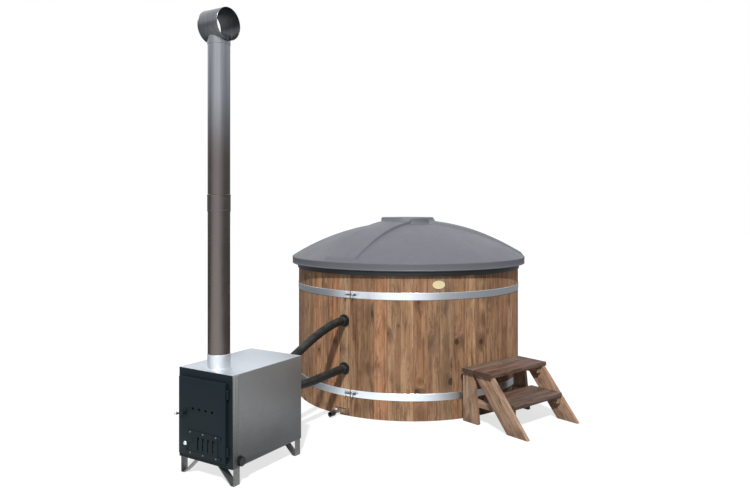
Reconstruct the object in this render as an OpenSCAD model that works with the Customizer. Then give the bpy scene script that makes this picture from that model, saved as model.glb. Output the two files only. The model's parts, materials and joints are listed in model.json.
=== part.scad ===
// Wooden hot tub: stave tub under a domed cover, external wood-fired stove with a flue,
// two water hoses and a free-standing two-tread step. Millimetres, +Z up.
// Origin: centre of the tub on the ground. The stove stands on the -Y side.

/* [Tub] */
// Outer radius at the corners of the staves
tub_r = 900; // [860:5:940]
// Number of staves in the ring
stave_count = 60; // [48:4:72]
// Thickness of a stave
stave_t = 42; // [34:1:44]
// Gap between two staves
stave_gap = 0.5; // [0.3:0.1:2]
// Height of the liner's rim above the ground
rim_z = 1058; // [1000:1:1100]
// Wall thickness of the moulded liner
liner_t = 8; // [5:0.5:12]
// Drop of the rim's turned-down lip
lip_drop = 45; // [26:1:50]
// Overhang of the rim past the staves' corners
lip_over = 8; // [6:1:36]
// Height of the bench's seat above the ground
bench_z = 480; // [400:5:540]
// Inner radius of the footwell
footwell_r = 560; // [480:5:620]
// Depth of the floor joists
joist_h = 60; // [45:1:70]
// Width of a floor joist
joist_w = 45; // [36:1:60]
// Distance between two joists
joist_pitch = 240; // [200:5:260]
// Thickness of the floor panel
floor_t = 24; // [18:1:30]

/* [Hoops] */
// Width of a hoop band
hoop_w = 50; // [40:1:60]
// Thickness of a hoop band
hoop_t = 2; // [1.5:0.1:3]
// Height of the upper hoop's centre
upper_hoop_z = 871; // [800:1:900]
// Height of the lower hoop's centre
lower_hoop_z = 166; // [150:1:260]
// Azimuth of the hoop tensioners
lug_az = -88; // [-90:1:-86]
// Distance between the two lugs of a hoop
lug_gap = 56; // [46:1:64]
// Height of a lug off the band
lug_h = 30; // [26:1:34]
// Radius of a tensioning bolt
hoop_bolt_r = 5; // [4:0.5:6]

/* [Nameplate] */
// Width of the bare oval plate
plate_w = 90; // [70:1:110]
// Height of the bare oval plate
plate_h = 58; // [40:1:64]
// Thickness of the bare oval plate
plate_t = 2; // [1:0.5:4]
// Height of the plate's centre
plate_z = 952; // [940:1:970]
// Azimuth of the plate
plate_az = -47; // [-60:1:-40]

/* [Cover] */
// Reach of the cover's rim beyond the staves
cover_over = 52; // [48:1:80]
// Sphere radius of the dome
dome_r = 1782; // [1680:2:2100]
// Rise of the dome's crown above its bearing panel
dome_rise = 315; // [280:5:340]
// Wall thickness of the cover
cover_t = 6; // [4:0.5:9]
// Depth of the skirt below the bearing panel
skirt_drop = 14; // [8:1:22]
// Width of a raised band
band_w = 272; // [200:2:320]
// Height of a raised band
band_h = 20; // [10:1:26]
// Number of raised bands
band_count = 3; // [2:1:4]
// Azimuth of the first raised band
band_az = -93; // [-120:1:-60]
// Radius of the raised centre disc
disc_r = 218; // [180:1:260]
// Height of the centre disc above the crown
disc_h = 39; // [30:1:50]
// Thickness of the seal under the cover
seal_t = 6; // [4:0.5:10]

/* [Stove] */
// Offset of the stove's centre line
stove_x = -20; // [-26:1:-14]
// Width of the stove's body
stove_w = 404; // [380:1:440]
// Depth of the stove's body
stove_d = 589; // [540:1:640]
// Height of the stove's body
stove_h = 500; // [480:1:540]
// Height of the legs
leg_h = 94; // [70:1:120]
// Distance from the tub's centre to the stove's rear face
stove_rear = 1658; // [1650:1:1690]
// Thickness of the casing sheet
sheet_t = 2; // [1.5:0.1:3]
// Thickness of the front frame's plate
frame_t = 4; // [3:0.5:6]
// Water space between the firebox and the tank shell
water_gap = 22; // [16:1:26]
// Air gap between the tank shell and the casing
air_gap = 6; // [4:1:10]
// Thickness of the firebox plate
fire_t = 4; // [3:0.5:5]
// Thickness of the tank shell
tank_t = 3; // [2:0.5:4]
// Depth of the water space behind the firebox
rear_water = 50; // [30:1:70]
// Overlap of the front frame inside the firebox walls
frame_lip = 10; // [8:1:14]
// Height of the grate above the firebox floor
grate_rise = 75; // [60:1:90]

/* [Door] */
// Width of the door
door_w = 353; // [340:1:370]
// Height of the door
door_h = 426; // [410:1:440]
// Depth of the door's tray
door_d = 18; // [14:1:22]
// Height of the door's lower edge above the body's lower edge
door_rise = 30; // [24:1:36]
// Distance of the door's hinge edge from the body's right side
door_inset = 32; // [28:1:40]
// Radius of the hinge pins
hinge_pin_r = 3; // [2:0.5:4]
// Radius of a vent hole
vent_r = 9; // [6:0.5:12]
// Distance between two vent holes
vent_pitch = 49; // [40:1:56]
// Width of a draught slot
slot_w = 15; // [8:1:17]
// Height of a draught slot
slot_h = 72; // [50:1:80]
// Distance between two draught slots
slot_pitch = 38; // [36:1:42]
// Radius of the draught slide's ball knob
ball_r = 12; // [9:0.5:14]
// Length of the latch handle's arm
latch_arm = 42; // [38:1:48]

/* [Flue] */
// Outer radius of the flue pipe
flue_r = 62; // [55:0.5:70]
// Wall thickness of the flue pipe
flue_t = 2; // [1:0.1:3]
// Distance of the flue's axis behind the front face
flue_back = 105; // [90:1:130]
// Height of the collar above the casing
collar_h = 80; // [60:1:100]
// Height of the joint between the two pipes
joint_z = 1560; // [1400:10:1700]
// Depth of the socket at the joint
socket_d = 92; // [60:1:110]
// Height of the flue's top
flue_top = 2440; // [2300:10:2600]
// Outer radius of the open hat
hat_r = 92; // [84:1:110]
// Length of the open hat
hat_len = 150; // [130:5:200]

/* [Water fittings] */
// Radius of a hose
hose_r = 29; // [26:0.5:32]
// Outer radius of a fitting's pipe
port_r = 24; // [20:0.5:25]
// Wall thickness of a fitting's pipe
port_t = 4; // [2:0.5:5]
// Radius of the fittings' flanges
flange_r = 44; // [40:1:48]
// Outer radius of the drain pipe
drain_r = 16.8; // [13:0.1:18]
// Height of the drain's axis above the ground
drain_z = 30; // [28:1:34]
// Offset of the drain's axis
drain_x = -60; // [-80:1:-50]

/* [Steps] */
// Azimuth of the steps round the tub
steps_az = -18.7; // [-30:0.1:0]
// Distance over the two side frames
steps_w = 580; // [520:5:640]
// Thickness of the boards
board_t = 28; // [22:1:34]
// Height of the upper tread
upper_tread_z = 373; // [340:1:420]
// Height of the lower tread
lower_tread_z = 190; // [170:1:210]
// Depth of a tread
tread_d = 262; // [230:1:280]
// Length of the upper tread
tread_len = 610; // [590:5:720]
// Distance from the tub's side to the front of the lower tread
lower_out = 425; // [400:1:440]
// Distance from the tub's side to the toes
toe_out = 550; // [530:1:580]
// Length of a slanted leg's cut on the ground
toe_cut = 165; // [140:1:170]
// Height of a cleat board
cleat_h = 48; // [40:1:60]

/* [Hidden] */
$fn = 96;
fit = 0.3;        // clearance between curved faces that meet
run_fit = 0.05;   // radial clearance of a pin or spindle that turns
cut = 1;          // length by which a cutting body runs past a face

wood = "#8a5f3c";
dark_wood = "#5f4336";
steel = "#c4c8cc";
casing_grey = "#b9bdbf";
stove_black = "#232e34";
cover_grey = "#84868f";
rubber_black = "#161616";

// Tub
stave_step = 360 / stave_count;
stave_phase = atan2(-tub_r, stove_x);
stave_top = rim_z - liner_t - fit;
stave_in_r = tub_r - stave_t;
liner_r = stave_in_r - 2 * fit - tub_r * (1 - cos(stave_step / 2));
liner_in_r = liner_r - liner_t;
floor_top = joist_h + floor_t;
liner_floor = floor_top + liner_t;
lip_r = tub_r + lip_over;
lip_t = 4;

// Hose routes: points on each hose's centre line, as [y, z]
hose_stove_y = 18 - stove_rear;
hose_tub_y = -(tub_r + 22);
hot_stove_z = 490;
cold_stove_z = 335;
hot_tub_z = 682;
cold_tub_z = 338;
hose_end = 28;
hot_route = [[hose_stove_y, hot_stove_z], [hose_stove_y + hose_end, hot_stove_z], [-1575, 497],
    [-1530, 511], [-1470, 534], [-1400, 562], [-1310, 598], [-1220, 629], [-1135, 653],
    [-1060, 670], [-1000, 679], [hose_tub_y - hose_end, hot_tub_z], [hose_tub_y, hot_tub_z]];
cold_route = [[hose_stove_y, cold_stove_z], [hose_stove_y + hose_end, cold_stove_z], [-1550, 333],
    [-1470, 330], [-1370, 328], [-1270, 328], [-1170, 331], [-1070, 335], [-1000, 337],
    [hose_tub_y - hose_end, cold_tub_z], [hose_tub_y, cold_tub_z]];
hose_sides = 12;

// Cover
cover_r = tub_r + cover_over;
seal_z = rim_z;
panel_z = seal_z + seal_t;
panel_t = 6;
skirt_z = panel_z - skirt_drop;
crown_z = panel_z + dome_rise;
dome_z = crown_z - dome_r;
disc_top = crown_z + disc_h;
cover_edge_z = dome_z + sqrt(dome_r * dome_r - cover_r * cover_r);
band_fade = 400;
seal_w = 30;

// Wall fittings on the tub
wall_y = -(tub_r + fit);
flange_t = 7;
lock_t = 7;
lock_r = 38;
lock_y = fit - sqrt(liner_in_r * liner_in_r - pow(lock_r + abs(stove_x), 2));
grille_d = 16;

// Stove
body_x0 = stove_x - stove_w / 2;
body_x1 = stove_x + stove_w / 2;
rear_y = -stove_rear;
front_y = rear_y - stove_d;
body_z0 = leg_h;
body_z1 = leg_h + stove_h;
frame_back = front_y + frame_t;
tank_x0 = body_x0 + sheet_t + air_gap;
tank_x1 = body_x1 - sheet_t - air_gap;
tray_t = 3;
tank_z0 = body_z0 + tray_t + air_gap;
tank_z1 = body_z1 - sheet_t - air_gap;
tank_rear = rear_y - sheet_t - 30;
wall_stack = tank_t + water_gap + fire_t;
fire_x0 = tank_x0 + wall_stack;
fire_x1 = tank_x1 - wall_stack;
fire_z0 = tank_z0 + wall_stack;
fire_z1 = tank_z1 - wall_stack;
fire_rear = tank_rear - tank_t - rear_water - fire_t;
open_x0 = fire_x0 + frame_lip;
open_x1 = fire_x1 - frame_lip;
flue_y = front_y + flue_back;
collar_z1 = body_z1 + collar_h;
collar_r = flue_r + fit + 1.5;
throat_r = flue_r - 5;
pipe_seat = body_z1 + 10;
ledge_w = 14;
ledge_t = 4;
grate_z = fire_z0 + grate_rise;
grate_t = 14;
stove_drain_y = rear_y - stove_d + 65;
stove_drain_z = body_z0 + 28;
stove_drain_r = 16;
drain_stub_end = 10;
leg_t = 5;
leg_bar = 46;
leg_foot = 24;
leg_spread = 120;
leg_flange = 26;
leg_bolt_h = 5;
leg_ys = [front_y + 12, rear_y - 10 - leg_bar];

// Door
door_x1 = body_x1 - door_inset;
door_x0 = door_x1 - door_w;
door_z0 = body_z0 + door_rise;
door_z1 = door_z0 + door_h;
open_z0 = door_z0 + 14;
open_z1 = door_z1 - 14;
gasket_t = 1.7;
door_back = front_y - gasket_t - fit;
door_front = door_back - door_d;
door_t = 3;
shield_t = 3;
hinge_x = door_x1 + 8;
hinge_y = door_back - door_d / 2 + 1;
knuckle_r = 6;
knuckle_h = 22;
hinge_zs = [door_z0 + 60, door_z1 - 60];
washer_t = 1.5;
pin_depth = 18;
door_knuckle_z = washer_t + fit;
rail_h = 14;
rail_t = 3.2;
rail_lip = 4;
rail_lip_t = 1.8;
slide_mid = stove_x + 8;
rail_x0 = slide_mid - 132;
rail_x1 = slide_mid + 132;
slide_t = 2.6;
slide_gap = 0.3;
lower_rail_z = door_z0 + 10;
slide_h = slot_h + 28;
upper_rail_z = lower_rail_z + rail_h + slide_h + 2 * slide_gap;
slide_z0 = lower_rail_z + rail_h + slide_gap;
slide_x0 = slide_mid - 116;
slide_x1 = slide_mid + 108;
slot_z0 = slide_z0 + 14;
slot_xs = [for (i = [-1 : 2]) slide_mid + i * slot_pitch];
vent_z = door_z0 + 259;
vent_xs = [for (i = [-1.5 : 1 : 1.5]) stove_x + i * vent_pitch];
rail_screw_xs = [for (i = [-1 : 1]) slide_mid + i * 98];
slide_knob_x = slide_x0 + 10;
slide_knob_z = slide_z0 + 52;
latch_x = open_x0 + 19;
latch_z = door_z0 + 230;
latch_droop = 11;
spindle_r = 5;
escutcheon_t = 3;
cam_gap = 2;
cam_t = 5;
cam_len = 27;
latch_ball_r = 10;
arm_y = door_front - escutcheon_t - 12;

// Drain under the tub
sump_y = -150;
valve_y0 = -(tub_r + 12);
valve_len = 66;
tail_len = 46;
tail_r = 18;

// Steps, in their own frame: u outward from the tub, v sideways
frame_v = steps_w / 2;
upper_rear = tub_r - 0.5;
lower_front = tub_r + lower_out;
toe_u = tub_r + toe_out;
upper_leg_z = upper_tread_z - board_t;
lower_leg_z = lower_tread_z - board_t;
lean = 0.84;
rear_leg_w = 122;
tread_split = 96;
board_gap = 4;
lower_rear = lower_front - tread_d;
screw_r = 2.4;
screw_head_r = 4.6;
screw_head_h = 2.5;
screw_len = 60;

// ---------- shared shapes ----------
module ring(r_out, r_in, h) {
    difference() {
        cylinder(r = r_out, h = h);
        translate([0, 0, -cut]) cylinder(r = r_in, h = h + 2 * cut);
    }
}

// A cylinder along +Y from its base point
module along_y(r, len) {
    rotate([-90, 0, 0]) cylinder(r = r, h = len);
}

// A cylinder along +X from its base point
module along_x(r, len) {
    rotate([0, 90, 0]) cylinder(r = r, h = len);
}

// A box given by its two corners
module box(a, b) {
    translate(a) cube([b[0] - a[0], b[1] - a[1], b[2] - a[2]]);
}

// One ring of a tube about point p = [y, z], square to the heading t
function tube_ring(p, t, r) = let (n = norm(t), c = t[1] / n, s = t[0] / n)
    [for (i = [0 : hose_sides - 1]) let (a = (i + 0.5) * 360 / hose_sides, k = r * cos(a), w = r * sin(a))
        [stove_x + w, p[0] - k * c, p[1] + k * s]];

// Direction of a route at one of its points; both ends run level
function heading(route, i) = (i < 2 || i > len(route) - 3) ? [1, 0]
    : [route[i + 1][0] - route[i - 1][0], route[i + 1][1] - route[i - 1][1]];

// A tube swept along a route in the plane x = stove_x
module swept_tube(route, r) {
    n = hose_sides;
    last = len(route) - 1;
    pts = [for (i = [0 : last]) each tube_ring(route[i], heading(route, i), r)];
    sides = [for (i = [0 : last - 1], j = [0 : n - 1]) let (k = (j + 1) % n)
        each [[i * n + j, i * n + k, (i + 1) * n + k], [i * n + j, (i + 1) * n + k, (i + 1) * n + j]]];
    ends = [[for (j = [n - 1 : -1 : 0]) j], [for (j = [0 : n - 1]) last * n + j]];
    polyhedron(points = pts, faces = concat(sides, ends));
}

// ---------- tub ----------
module floor_joists() color(dark_wood) {
    reach = liner_r - 20;
    for (i = [-3 : 3]) {
        x = i * joist_pitch;
        edge = abs(x) + joist_w / 2;
        half = sqrt(reach * reach - edge * edge);
        translate([x - joist_w / 2, -half, 0]) cube([joist_w, 2 * half, joist_h]);
    }
}

module floor_panel() color(wood) difference() {
    translate([0, 0, joist_h]) cylinder(r = liner_r - 4, h = floor_t);
    translate([drain_x, sump_y, 0]) cylinder(r = drain_r + 3, h = floor_top + cut);
}

module liner_floor() color(cover_grey) difference() {
    translate([0, 0, floor_top]) cylinder(r = liner_r, h = liner_t);
    translate([drain_x, sump_y, joist_h]) cylinder(r = drain_r + fit, h = floor_top);
}

// Wall of the liner, with its rim turned out over the staves and down
module liner() color(cover_grey) difference() {
    rotate_extrude() polygon([
        [liner_in_r, liner_floor], [liner_r, liner_floor], [liner_r, rim_z - liner_t],
        [lip_r - lip_t, rim_z - liner_t], [lip_r - lip_t, rim_z - lip_drop], [lip_r, rim_z - lip_drop],
        [lip_r, rim_z], [liner_in_r, rim_z]]);
    for (z = [hot_tub_z, cold_tub_z])
        translate([stove_x, -liner_r - cut, z]) along_y(port_r + fit, 3 * liner_t);
}

// Bench ring with the footwell's wall; the holes let the water reach the cold outlet
module liner_bench() color(cover_grey) difference() {
    rotate_extrude() polygon([
        [footwell_r, liner_floor], [footwell_r + liner_t, liner_floor],
        [footwell_r + liner_t, bench_z - liner_t], [liner_in_r - fit, bench_z - liner_t],
        [liner_in_r - fit, bench_z], [footwell_r, bench_z]]);
    for (x = [-70, 0, 70])
        translate([stove_x + x, -footwell_r - 3 * liner_t, cold_tub_z]) along_y(port_r, 6 * liner_t);
}

module staves() color(wood) for (i = [0 : stave_count - 1]) {
    az = stave_phase + i * stave_step;
    half = stave_step / 2;
    out = tub_r * cos(half);
    w_out = tub_r * sin(half) - stave_gap / 2;
    w_in = (tub_r - stave_t / cos(half)) * sin(half) - stave_gap / 2;
    difference() {
        rotate([0, 0, az]) linear_extrude(stave_top)
            polygon([[out - stave_t, -w_in], [out, -w_out], [out, w_out], [out - stave_t, w_in]]);
        if (abs(az + 90) < 2 * stave_step || abs(az - 270) < 2 * stave_step) {
            for (z = [hot_tub_z, cold_tub_z])
                translate([stove_x, -tub_r - 10, z]) along_y(port_r + 4, stave_t + 20);
            translate([drain_x, -tub_r - 10, drain_z]) along_y(drain_r + 3, stave_t + 20);
        }
    }
}

// One hoop: a band with a gap closed by a bolt between two lugs
module hoop(z) rotate([0, 0, lug_az]) translate([0, 0, z - hoop_w / 2]) {
    lug_t = 4;
    band_gap = 8;
    difference() {
        union() {
            difference() {
                ring(tub_r + fit + hoop_t, tub_r + fit, hoop_w);
                translate([0, -band_gap / 2, -cut]) cube([2 * tub_r, band_gap, hoop_w + 2 * cut]);
            }
            for (side = [-1, 1]) translate([tub_r + fit, side * (lug_gap / 2 + lug_t / 2) - lug_t / 2, 5])
                cube([lug_h, lug_t, hoop_w - 10]);
        }
        translate([tub_r + lug_h / 2 + 2, -lug_gap, hoop_w / 2]) along_y(hoop_bolt_r + fit, 2 * lug_gap);
    }
}

module upper_hoop() color(steel) hoop(upper_hoop_z);

module lower_hoop() color(steel) hoop(lower_hoop_z);

module hoop_bolts() color(steel) for (z = [upper_hoop_z, lower_hoop_z])
    rotate([0, 0, lug_az]) translate([tub_r + lug_h / 2 + 2, 0, z]) {
        face = lug_gap / 2 + 4;
        head_h = 6;
        translate([0, -face - head_h, 0]) along_y(hoop_bolt_r, 2 * face + head_h + 22);
        translate([0, -face - head_h, 0]) rotate([-90, 0, 0]) cylinder(r = 9, h = head_h, $fn = 6);
        difference() {
            translate([0, face, 0]) rotate([-90, 0, 0]) cylinder(r = 9, h = 8, $fn = 6);
            translate([0, face - cut, 0]) along_y(hoop_bolt_r + run_fit, 10);
        }
    }

module nameplate() color("#c9b077") rotate([0, 0, plate_az]) translate([tub_r + fit, 0, plate_z])
    rotate([90, 0, 90]) linear_extrude(plate_t) scale([1, plate_h / plate_w]) circle(d = plate_w);

// A threaded fitting through the tub's wall, with its outer flange and hose seat
module wall_fitting(z) color(rubber_black) translate([stove_x, 0, z]) difference() {
    pipe_len = lock_y + lock_t + 2 - hose_tub_y;
    union() {
        translate([0, wall_y - flange_t, 0]) along_y(flange_r, flange_t);
        translate([0, hose_tub_y, 0]) along_y(port_r, pipe_len);
    }
    translate([0, hose_tub_y - cut, 0]) along_y(port_r - port_t, pipe_len + 2 * cut);
}

module hot_inlet() wall_fitting(hot_tub_z);

module cold_outlet() wall_fitting(cold_tub_z);

module lock_rings() color(rubber_black) for (z = [hot_tub_z, cold_tub_z])
    translate([stove_x, lock_y, z]) difference() {
        rotate([-90, 0, 0]) cylinder(r = lock_r, h = lock_t, $fn = 8);
        translate([0, -cut, 0]) along_y(port_r + fit, lock_t + 2 * cut);
    }

module inner_grilles() color(rubber_black) for (z = [hot_tub_z, cold_tub_z])
    translate([stove_x, lock_y + lock_t + fit, z]) difference() {
        along_y(lock_r, grille_d);
        translate([0, -cut, 0]) along_y(lock_r - 4, grille_d - 3 + cut);
        for (i = [-2 : 2]) translate([i * 12 - 3, 0, -22]) cube([6, grille_d + cut, 44]);
    }

module floor_drain() color(steel) translate([drain_x, sump_y, 0]) difference() {
    union() {
        translate([0, 0, liner_floor]) cylinder(r = 40, h = 4);
        translate([0, 0, floor_top]) cylinder(r = drain_r, h = liner_t);
    }
    for (i = [0 : 7]) rotate([0, 0, i * 45]) translate([9, 0, floor_top - cut]) cylinder(r = 3, h = 20);
}

module drain_pipe() color(steel) difference() {
    union() {
        translate([drain_x, sump_y, drain_z]) cylinder(r = drain_r, h = floor_top - drain_z);
        translate([drain_x, sump_y, drain_z]) sphere(r = drain_r);
        translate([drain_x, valve_y0, drain_z]) along_y(drain_r, sump_y - valve_y0);
    }
    translate([drain_x, sump_y, drain_z]) cylinder(r = drain_r - 3, h = floor_top);
    translate([drain_x, valve_y0 - cut, drain_z]) along_y(drain_r - 3, sump_y - valve_y0 + cut);
}

module drain_valve_body() color(steel) translate([drain_x, valve_y0, drain_z]) difference() {
    union() {
        for (y = [-18, -valve_len]) translate([0, y, 0]) rotate([-90, 0, 0])
            cylinder(r = 22, h = 18, $fn = 6);
        translate([0, -valve_len + 9, 0]) along_y(19, valve_len - 18);
        translate([0, -valve_len / 2, 0]) cylinder(r = 11, h = 30);
    }
    translate([0, -valve_len - cut, 0]) along_y(10, valve_len + 2 * cut);
    translate([0, -valve_len / 2, 0]) sphere(r = 14);
    translate([0, -valve_len / 2, 0]) cylinder(r = 4 + run_fit, h = 40);
}

// Ball, stem and lever turn together on the valve's upright axis
module drain_lever() color("#9c1f1f") translate([drain_x, valve_y0 - valve_len / 2, drain_z]) {
    difference() {
        union() {
            sphere(r = 14 - fit);
            cylinder(r = 4, h = 38);
            translate([-10, -8, 31]) cube([20, 16, 4]);
            translate([9, -7, 31]) cube([72, 14, 4]);
        }
        translate([-30, 0, 0]) along_x(8, 60);
    }
}

module drain_hose_tail() color(rubber_black) translate([drain_x, valve_y0 - valve_len - tail_len, drain_z])
    difference() {
        union() {
            along_y(tail_r, tail_len);
            translate([0, tail_len - 14, 0]) along_y(20, 14);
        }
        translate([0, -cut, 0]) along_y(tail_r - 4, tail_len + 2 * cut);
    }

// ---------- cover ----------
module cover_shell() color(cover_grey) difference() {
    union() {
        intersection() {
            translate([0, 0, dome_z]) sphere(r = dome_r);
            translate([0, 0, skirt_z]) cylinder(r = cover_r, h = disc_top);
        }
        intersection() {
            translate([0, 0, dome_z]) sphere(r = dome_r + band_h);
            translate([0, 0, cover_edge_z])
                cylinder(r1 = cover_r - 1, r2 = cover_r - 1 - band_fade, h = band_fade);
            for (i = [0 : band_count - 1]) rotate([0, 0, band_az + i * 360 / band_count])
                translate([0, -band_w / 2, panel_z + panel_t]) cube([cover_r, band_w, disc_top]);
        }
        translate([0, 0, panel_z + panel_t]) cylinder(r = disc_r, h = disc_top - panel_z - panel_t);
    }
    intersection() {
        translate([0, 0, dome_z]) sphere(r = dome_r - cover_t);
        translate([0, 0, skirt_z - cut]) cylinder(r = cover_r - cover_t, h = disc_top);
    }
}

module cover_panel() color(cover_grey) translate([0, 0, panel_z])
    cylinder(r = cover_r - cover_t - fit, h = panel_t);

module cover_seal() color(rubber_black) translate([0, 0, seal_z])
    ring(liner_in_r + 6 + seal_w, liner_in_r + 6, seal_t);

// ---------- hoses ----------
module hot_hose() color(rubber_black) swept_tube(hot_route, hose_r);

module cold_hose() color(rubber_black) swept_tube(cold_route, hose_r);

module hose_clamps() color(steel) {
    clamp_w = 13;
    inset = 8;
    ends = [[hose_stove_y + inset, hot_stove_z], [hose_stove_y + inset, cold_stove_z],
        [hose_tub_y - inset - clamp_w, hot_tub_z], [hose_tub_y - inset - clamp_w, cold_tub_z]];
    for (e = ends) translate([stove_x, e[0], e[1]]) difference() {
        union() {
            along_y(hose_r + fit + 1.2, clamp_w);
            translate([hose_r - 6, 1, 6]) cube([16, clamp_w - 2, 14]);
        }
        translate([0, -cut, 0]) along_y(hose_r + fit, clamp_w + 2 * cut);
    }
}

// ---------- stove ----------
module firebox() color("#4b4b4b") {
    difference() {
        box([fire_x0 - fire_t, frame_back, fire_z0 - fire_t],
            [fire_x1 + fire_t, fire_rear + fire_t, fire_z1 + fire_t]);
        box([fire_x0, frame_back - cut, fire_z0], [fire_x1, fire_rear, fire_z1]);
        translate([stove_x, flue_y, fire_z1 - cut]) cylinder(r = throat_r, h = 20);
    }
    for (x = [fire_x0, fire_x1 - ledge_w])
        box([x, frame_back + 20, grate_z - ledge_t], [x + ledge_w, fire_rear, grate_z]);
}

module tank_shell() color(steel) difference() {
    box([tank_x0, frame_back, tank_z0], [tank_x1, tank_rear, tank_z1]);
    box([tank_x0 + tank_t, frame_back - cut, tank_z0 + tank_t],
        [tank_x1 - tank_t, tank_rear - tank_t, tank_z1 - tank_t]);
    translate([stove_x, flue_y, tank_z1 - 20]) cylinder(r = collar_r + fit, h = 40);
    for (z = [hot_stove_z, cold_stove_z]) translate([stove_x, tank_rear - 20, z]) along_y(port_r + fit, 40);
    translate([tank_x1 - 20, stove_drain_y, stove_drain_z]) along_x(stove_drain_r + fit, 40);
}

// Folded sheet over both sides and the top, with a doubled strip at its front edges
module casing() color(casing_grey) {
    strip_w = 50;
    strip_t = 1.5;
    difference() {
        union() {
            box([body_x0, frame_back, body_z0 + tray_t], [body_x1, rear_y, body_z1]);
            box([body_x0 - strip_t, frame_back, body_z0 + tray_t],
                [body_x1 + strip_t, front_y + strip_w, body_z1 - 6]);
        }
        box([body_x0 + sheet_t, frame_back - cut, 0], [body_x1 - sheet_t, rear_y + cut, body_z1 - sheet_t]);
        translate([stove_x, flue_y, body_z1 - 20]) cylinder(r = collar_r + fit, h = 40);
        translate([body_x1 - 20, stove_drain_y, stove_drain_z]) along_x(stove_drain_r + fit, 40);
    }
}

module rear_panel() color(casing_grey) difference() {
    box([body_x0 + sheet_t, rear_y - sheet_t, body_z0 + tray_t],
        [body_x1 - sheet_t, rear_y, body_z1 - sheet_t]);
    for (z = [hot_stove_z, cold_stove_z]) translate([stove_x, rear_y - 10, z]) along_y(port_r + fit, 20);
}

module base_tray() color(casing_grey) {
    box([body_x0, frame_back, body_z0], [body_x1, rear_y, body_z0 + tray_t]);
    for (y = [frame_back + 60, rear_y - 120])
        box([tank_x0, y, body_z0 + tray_t], [tank_x1, y + 60, tank_z0]);
}

module front_frame() color(stove_black) {
    difference() {
        box([body_x0, front_y, body_z0], [body_x1, frame_back, body_z1]);
        box([open_x0, front_y - cut, open_z0], [open_x1, frame_back + cut, open_z1]);
    }
    for (z = hinge_zs) {
        difference() {
            union() {
                box([hinge_x - 3, hinge_y, z - knuckle_h], [hinge_x + 3, front_y, z]);
                translate([hinge_x, hinge_y, z - knuckle_h]) cylinder(r = knuckle_r, h = knuckle_h);
            }
            translate([hinge_x, hinge_y, z - pin_depth]) cylinder(r = hinge_pin_r + run_fit, h = knuckle_h);
        }
    }
}

// V-shaped legs bent from flat bar, with flanges under the base
module leg_profile() {
    t = leg_t;
    foot = leg_foot;
    spread = leg_spread;
    flange = leg_flange;
    polygon([[0, leg_h], [0, 0], [-foot, 0], [-spread, leg_h - t], [-spread - flange, leg_h - t],
        [-spread - flange, leg_h], [-spread + 3, leg_h], [-foot + 2.5, t], [-t, t],
        [-t, leg_h - t], [-flange - t, leg_h - t], [-flange - t, leg_h]]);
}

module stove_legs() color(steel) for (y = leg_ys, side = [0, 1])
    translate([side ? body_x1 : body_x0, y + leg_bar, 0]) mirror([side ? 0 : 1, 0, 0])
        rotate([90, 0, 0]) linear_extrude(leg_bar) leg_profile();

module leg_bolts() color(steel) for (y = leg_ys, side = [0, 1],
        inset = [leg_t + leg_flange / 2 + 2, leg_spread + leg_flange / 2 + 1])
    translate([side ? body_x1 - inset : body_x0 + inset, y + leg_bar / 2, leg_h - leg_t - leg_bolt_h])
        cylinder(r = 7, h = leg_bolt_h, $fn = 6);

module stove_ports() color(steel) for (z = [hot_stove_z, cold_stove_z])
    translate([stove_x, 0, z]) difference() {
        union() {
            translate([0, tank_rear - tank_t, 0]) along_y(port_r, hose_stove_y - tank_rear + tank_t);
            translate([0, rear_y, 0]) along_y(port_r + 12, 4);
        }
        translate([0, tank_rear - 20, 0]) along_y(port_r - port_t, 100);
    }

module grate() color("#3a3633") difference() {
    x0 = fire_x0 + 1;
    x1 = fire_x1 - 1;
    y0 = frame_back + 22;
    y1 = fire_rear - 4;
    box([x0, y0, grate_z], [x1, y1, grate_z + grate_t]);
    for (x = [x0 + 22 : 26 : x1 - 30])
        for (half = [0, 1]) {
            mid = (y0 + y1) / 2;
            box([x, half ? mid + 8 : y0 + 20, grate_z - cut],
                [x + 13, half ? y1 - 20 : mid - 8, grate_z + grate_t + cut]);
        }
}

// Holes for air through the door, its shield and the draught plate
module door_holes(y, depth) {
    for (x = vent_xs) translate([x, y, vent_z]) along_y(vent_r, depth);
    for (x = slot_xs) box([x - slot_w / 2, y, slot_z0], [x + slot_w / 2, y + depth, slot_z0 + slot_h]);
}

module door_panel() color(stove_black) {
    difference() {
        box([door_x0, door_front, door_z0], [door_x1, door_back, door_z1]);
        box([door_x0 + door_t, door_front + door_t, door_z0 + door_t],
            [door_x1 - door_t, door_back + cut, door_z1 - door_t]);
        door_holes(door_front - cut, door_t + 2 * cut);
        translate([latch_x, door_front - cut, latch_z]) along_y(spindle_r + run_fit, 10);
    }
    for (z = hinge_zs) difference() {
        union() {
            translate([hinge_x, hinge_y, z + door_knuckle_z]) cylinder(r = knuckle_r, h = knuckle_h);
            box([door_x1 - cut, hinge_y - 3, z + door_knuckle_z],
                [hinge_x, hinge_y + 3, z + door_knuckle_z + knuckle_h]);
        }
        translate([hinge_x, hinge_y, z]) cylinder(r = hinge_pin_r + run_fit, h = knuckle_h + 5);
    }
}

module door_liner() color("#3a3f42") difference() {
    box([door_x0 + door_t, door_back - shield_t, door_z0 + door_t],
        [door_x1 - door_t, door_back, door_z1 - door_t]);
    door_holes(door_back - shield_t - cut, shield_t + 2 * cut);
    translate([latch_x, door_back - 10, latch_z]) along_y(spindle_r + 1, 20);
}

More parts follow.
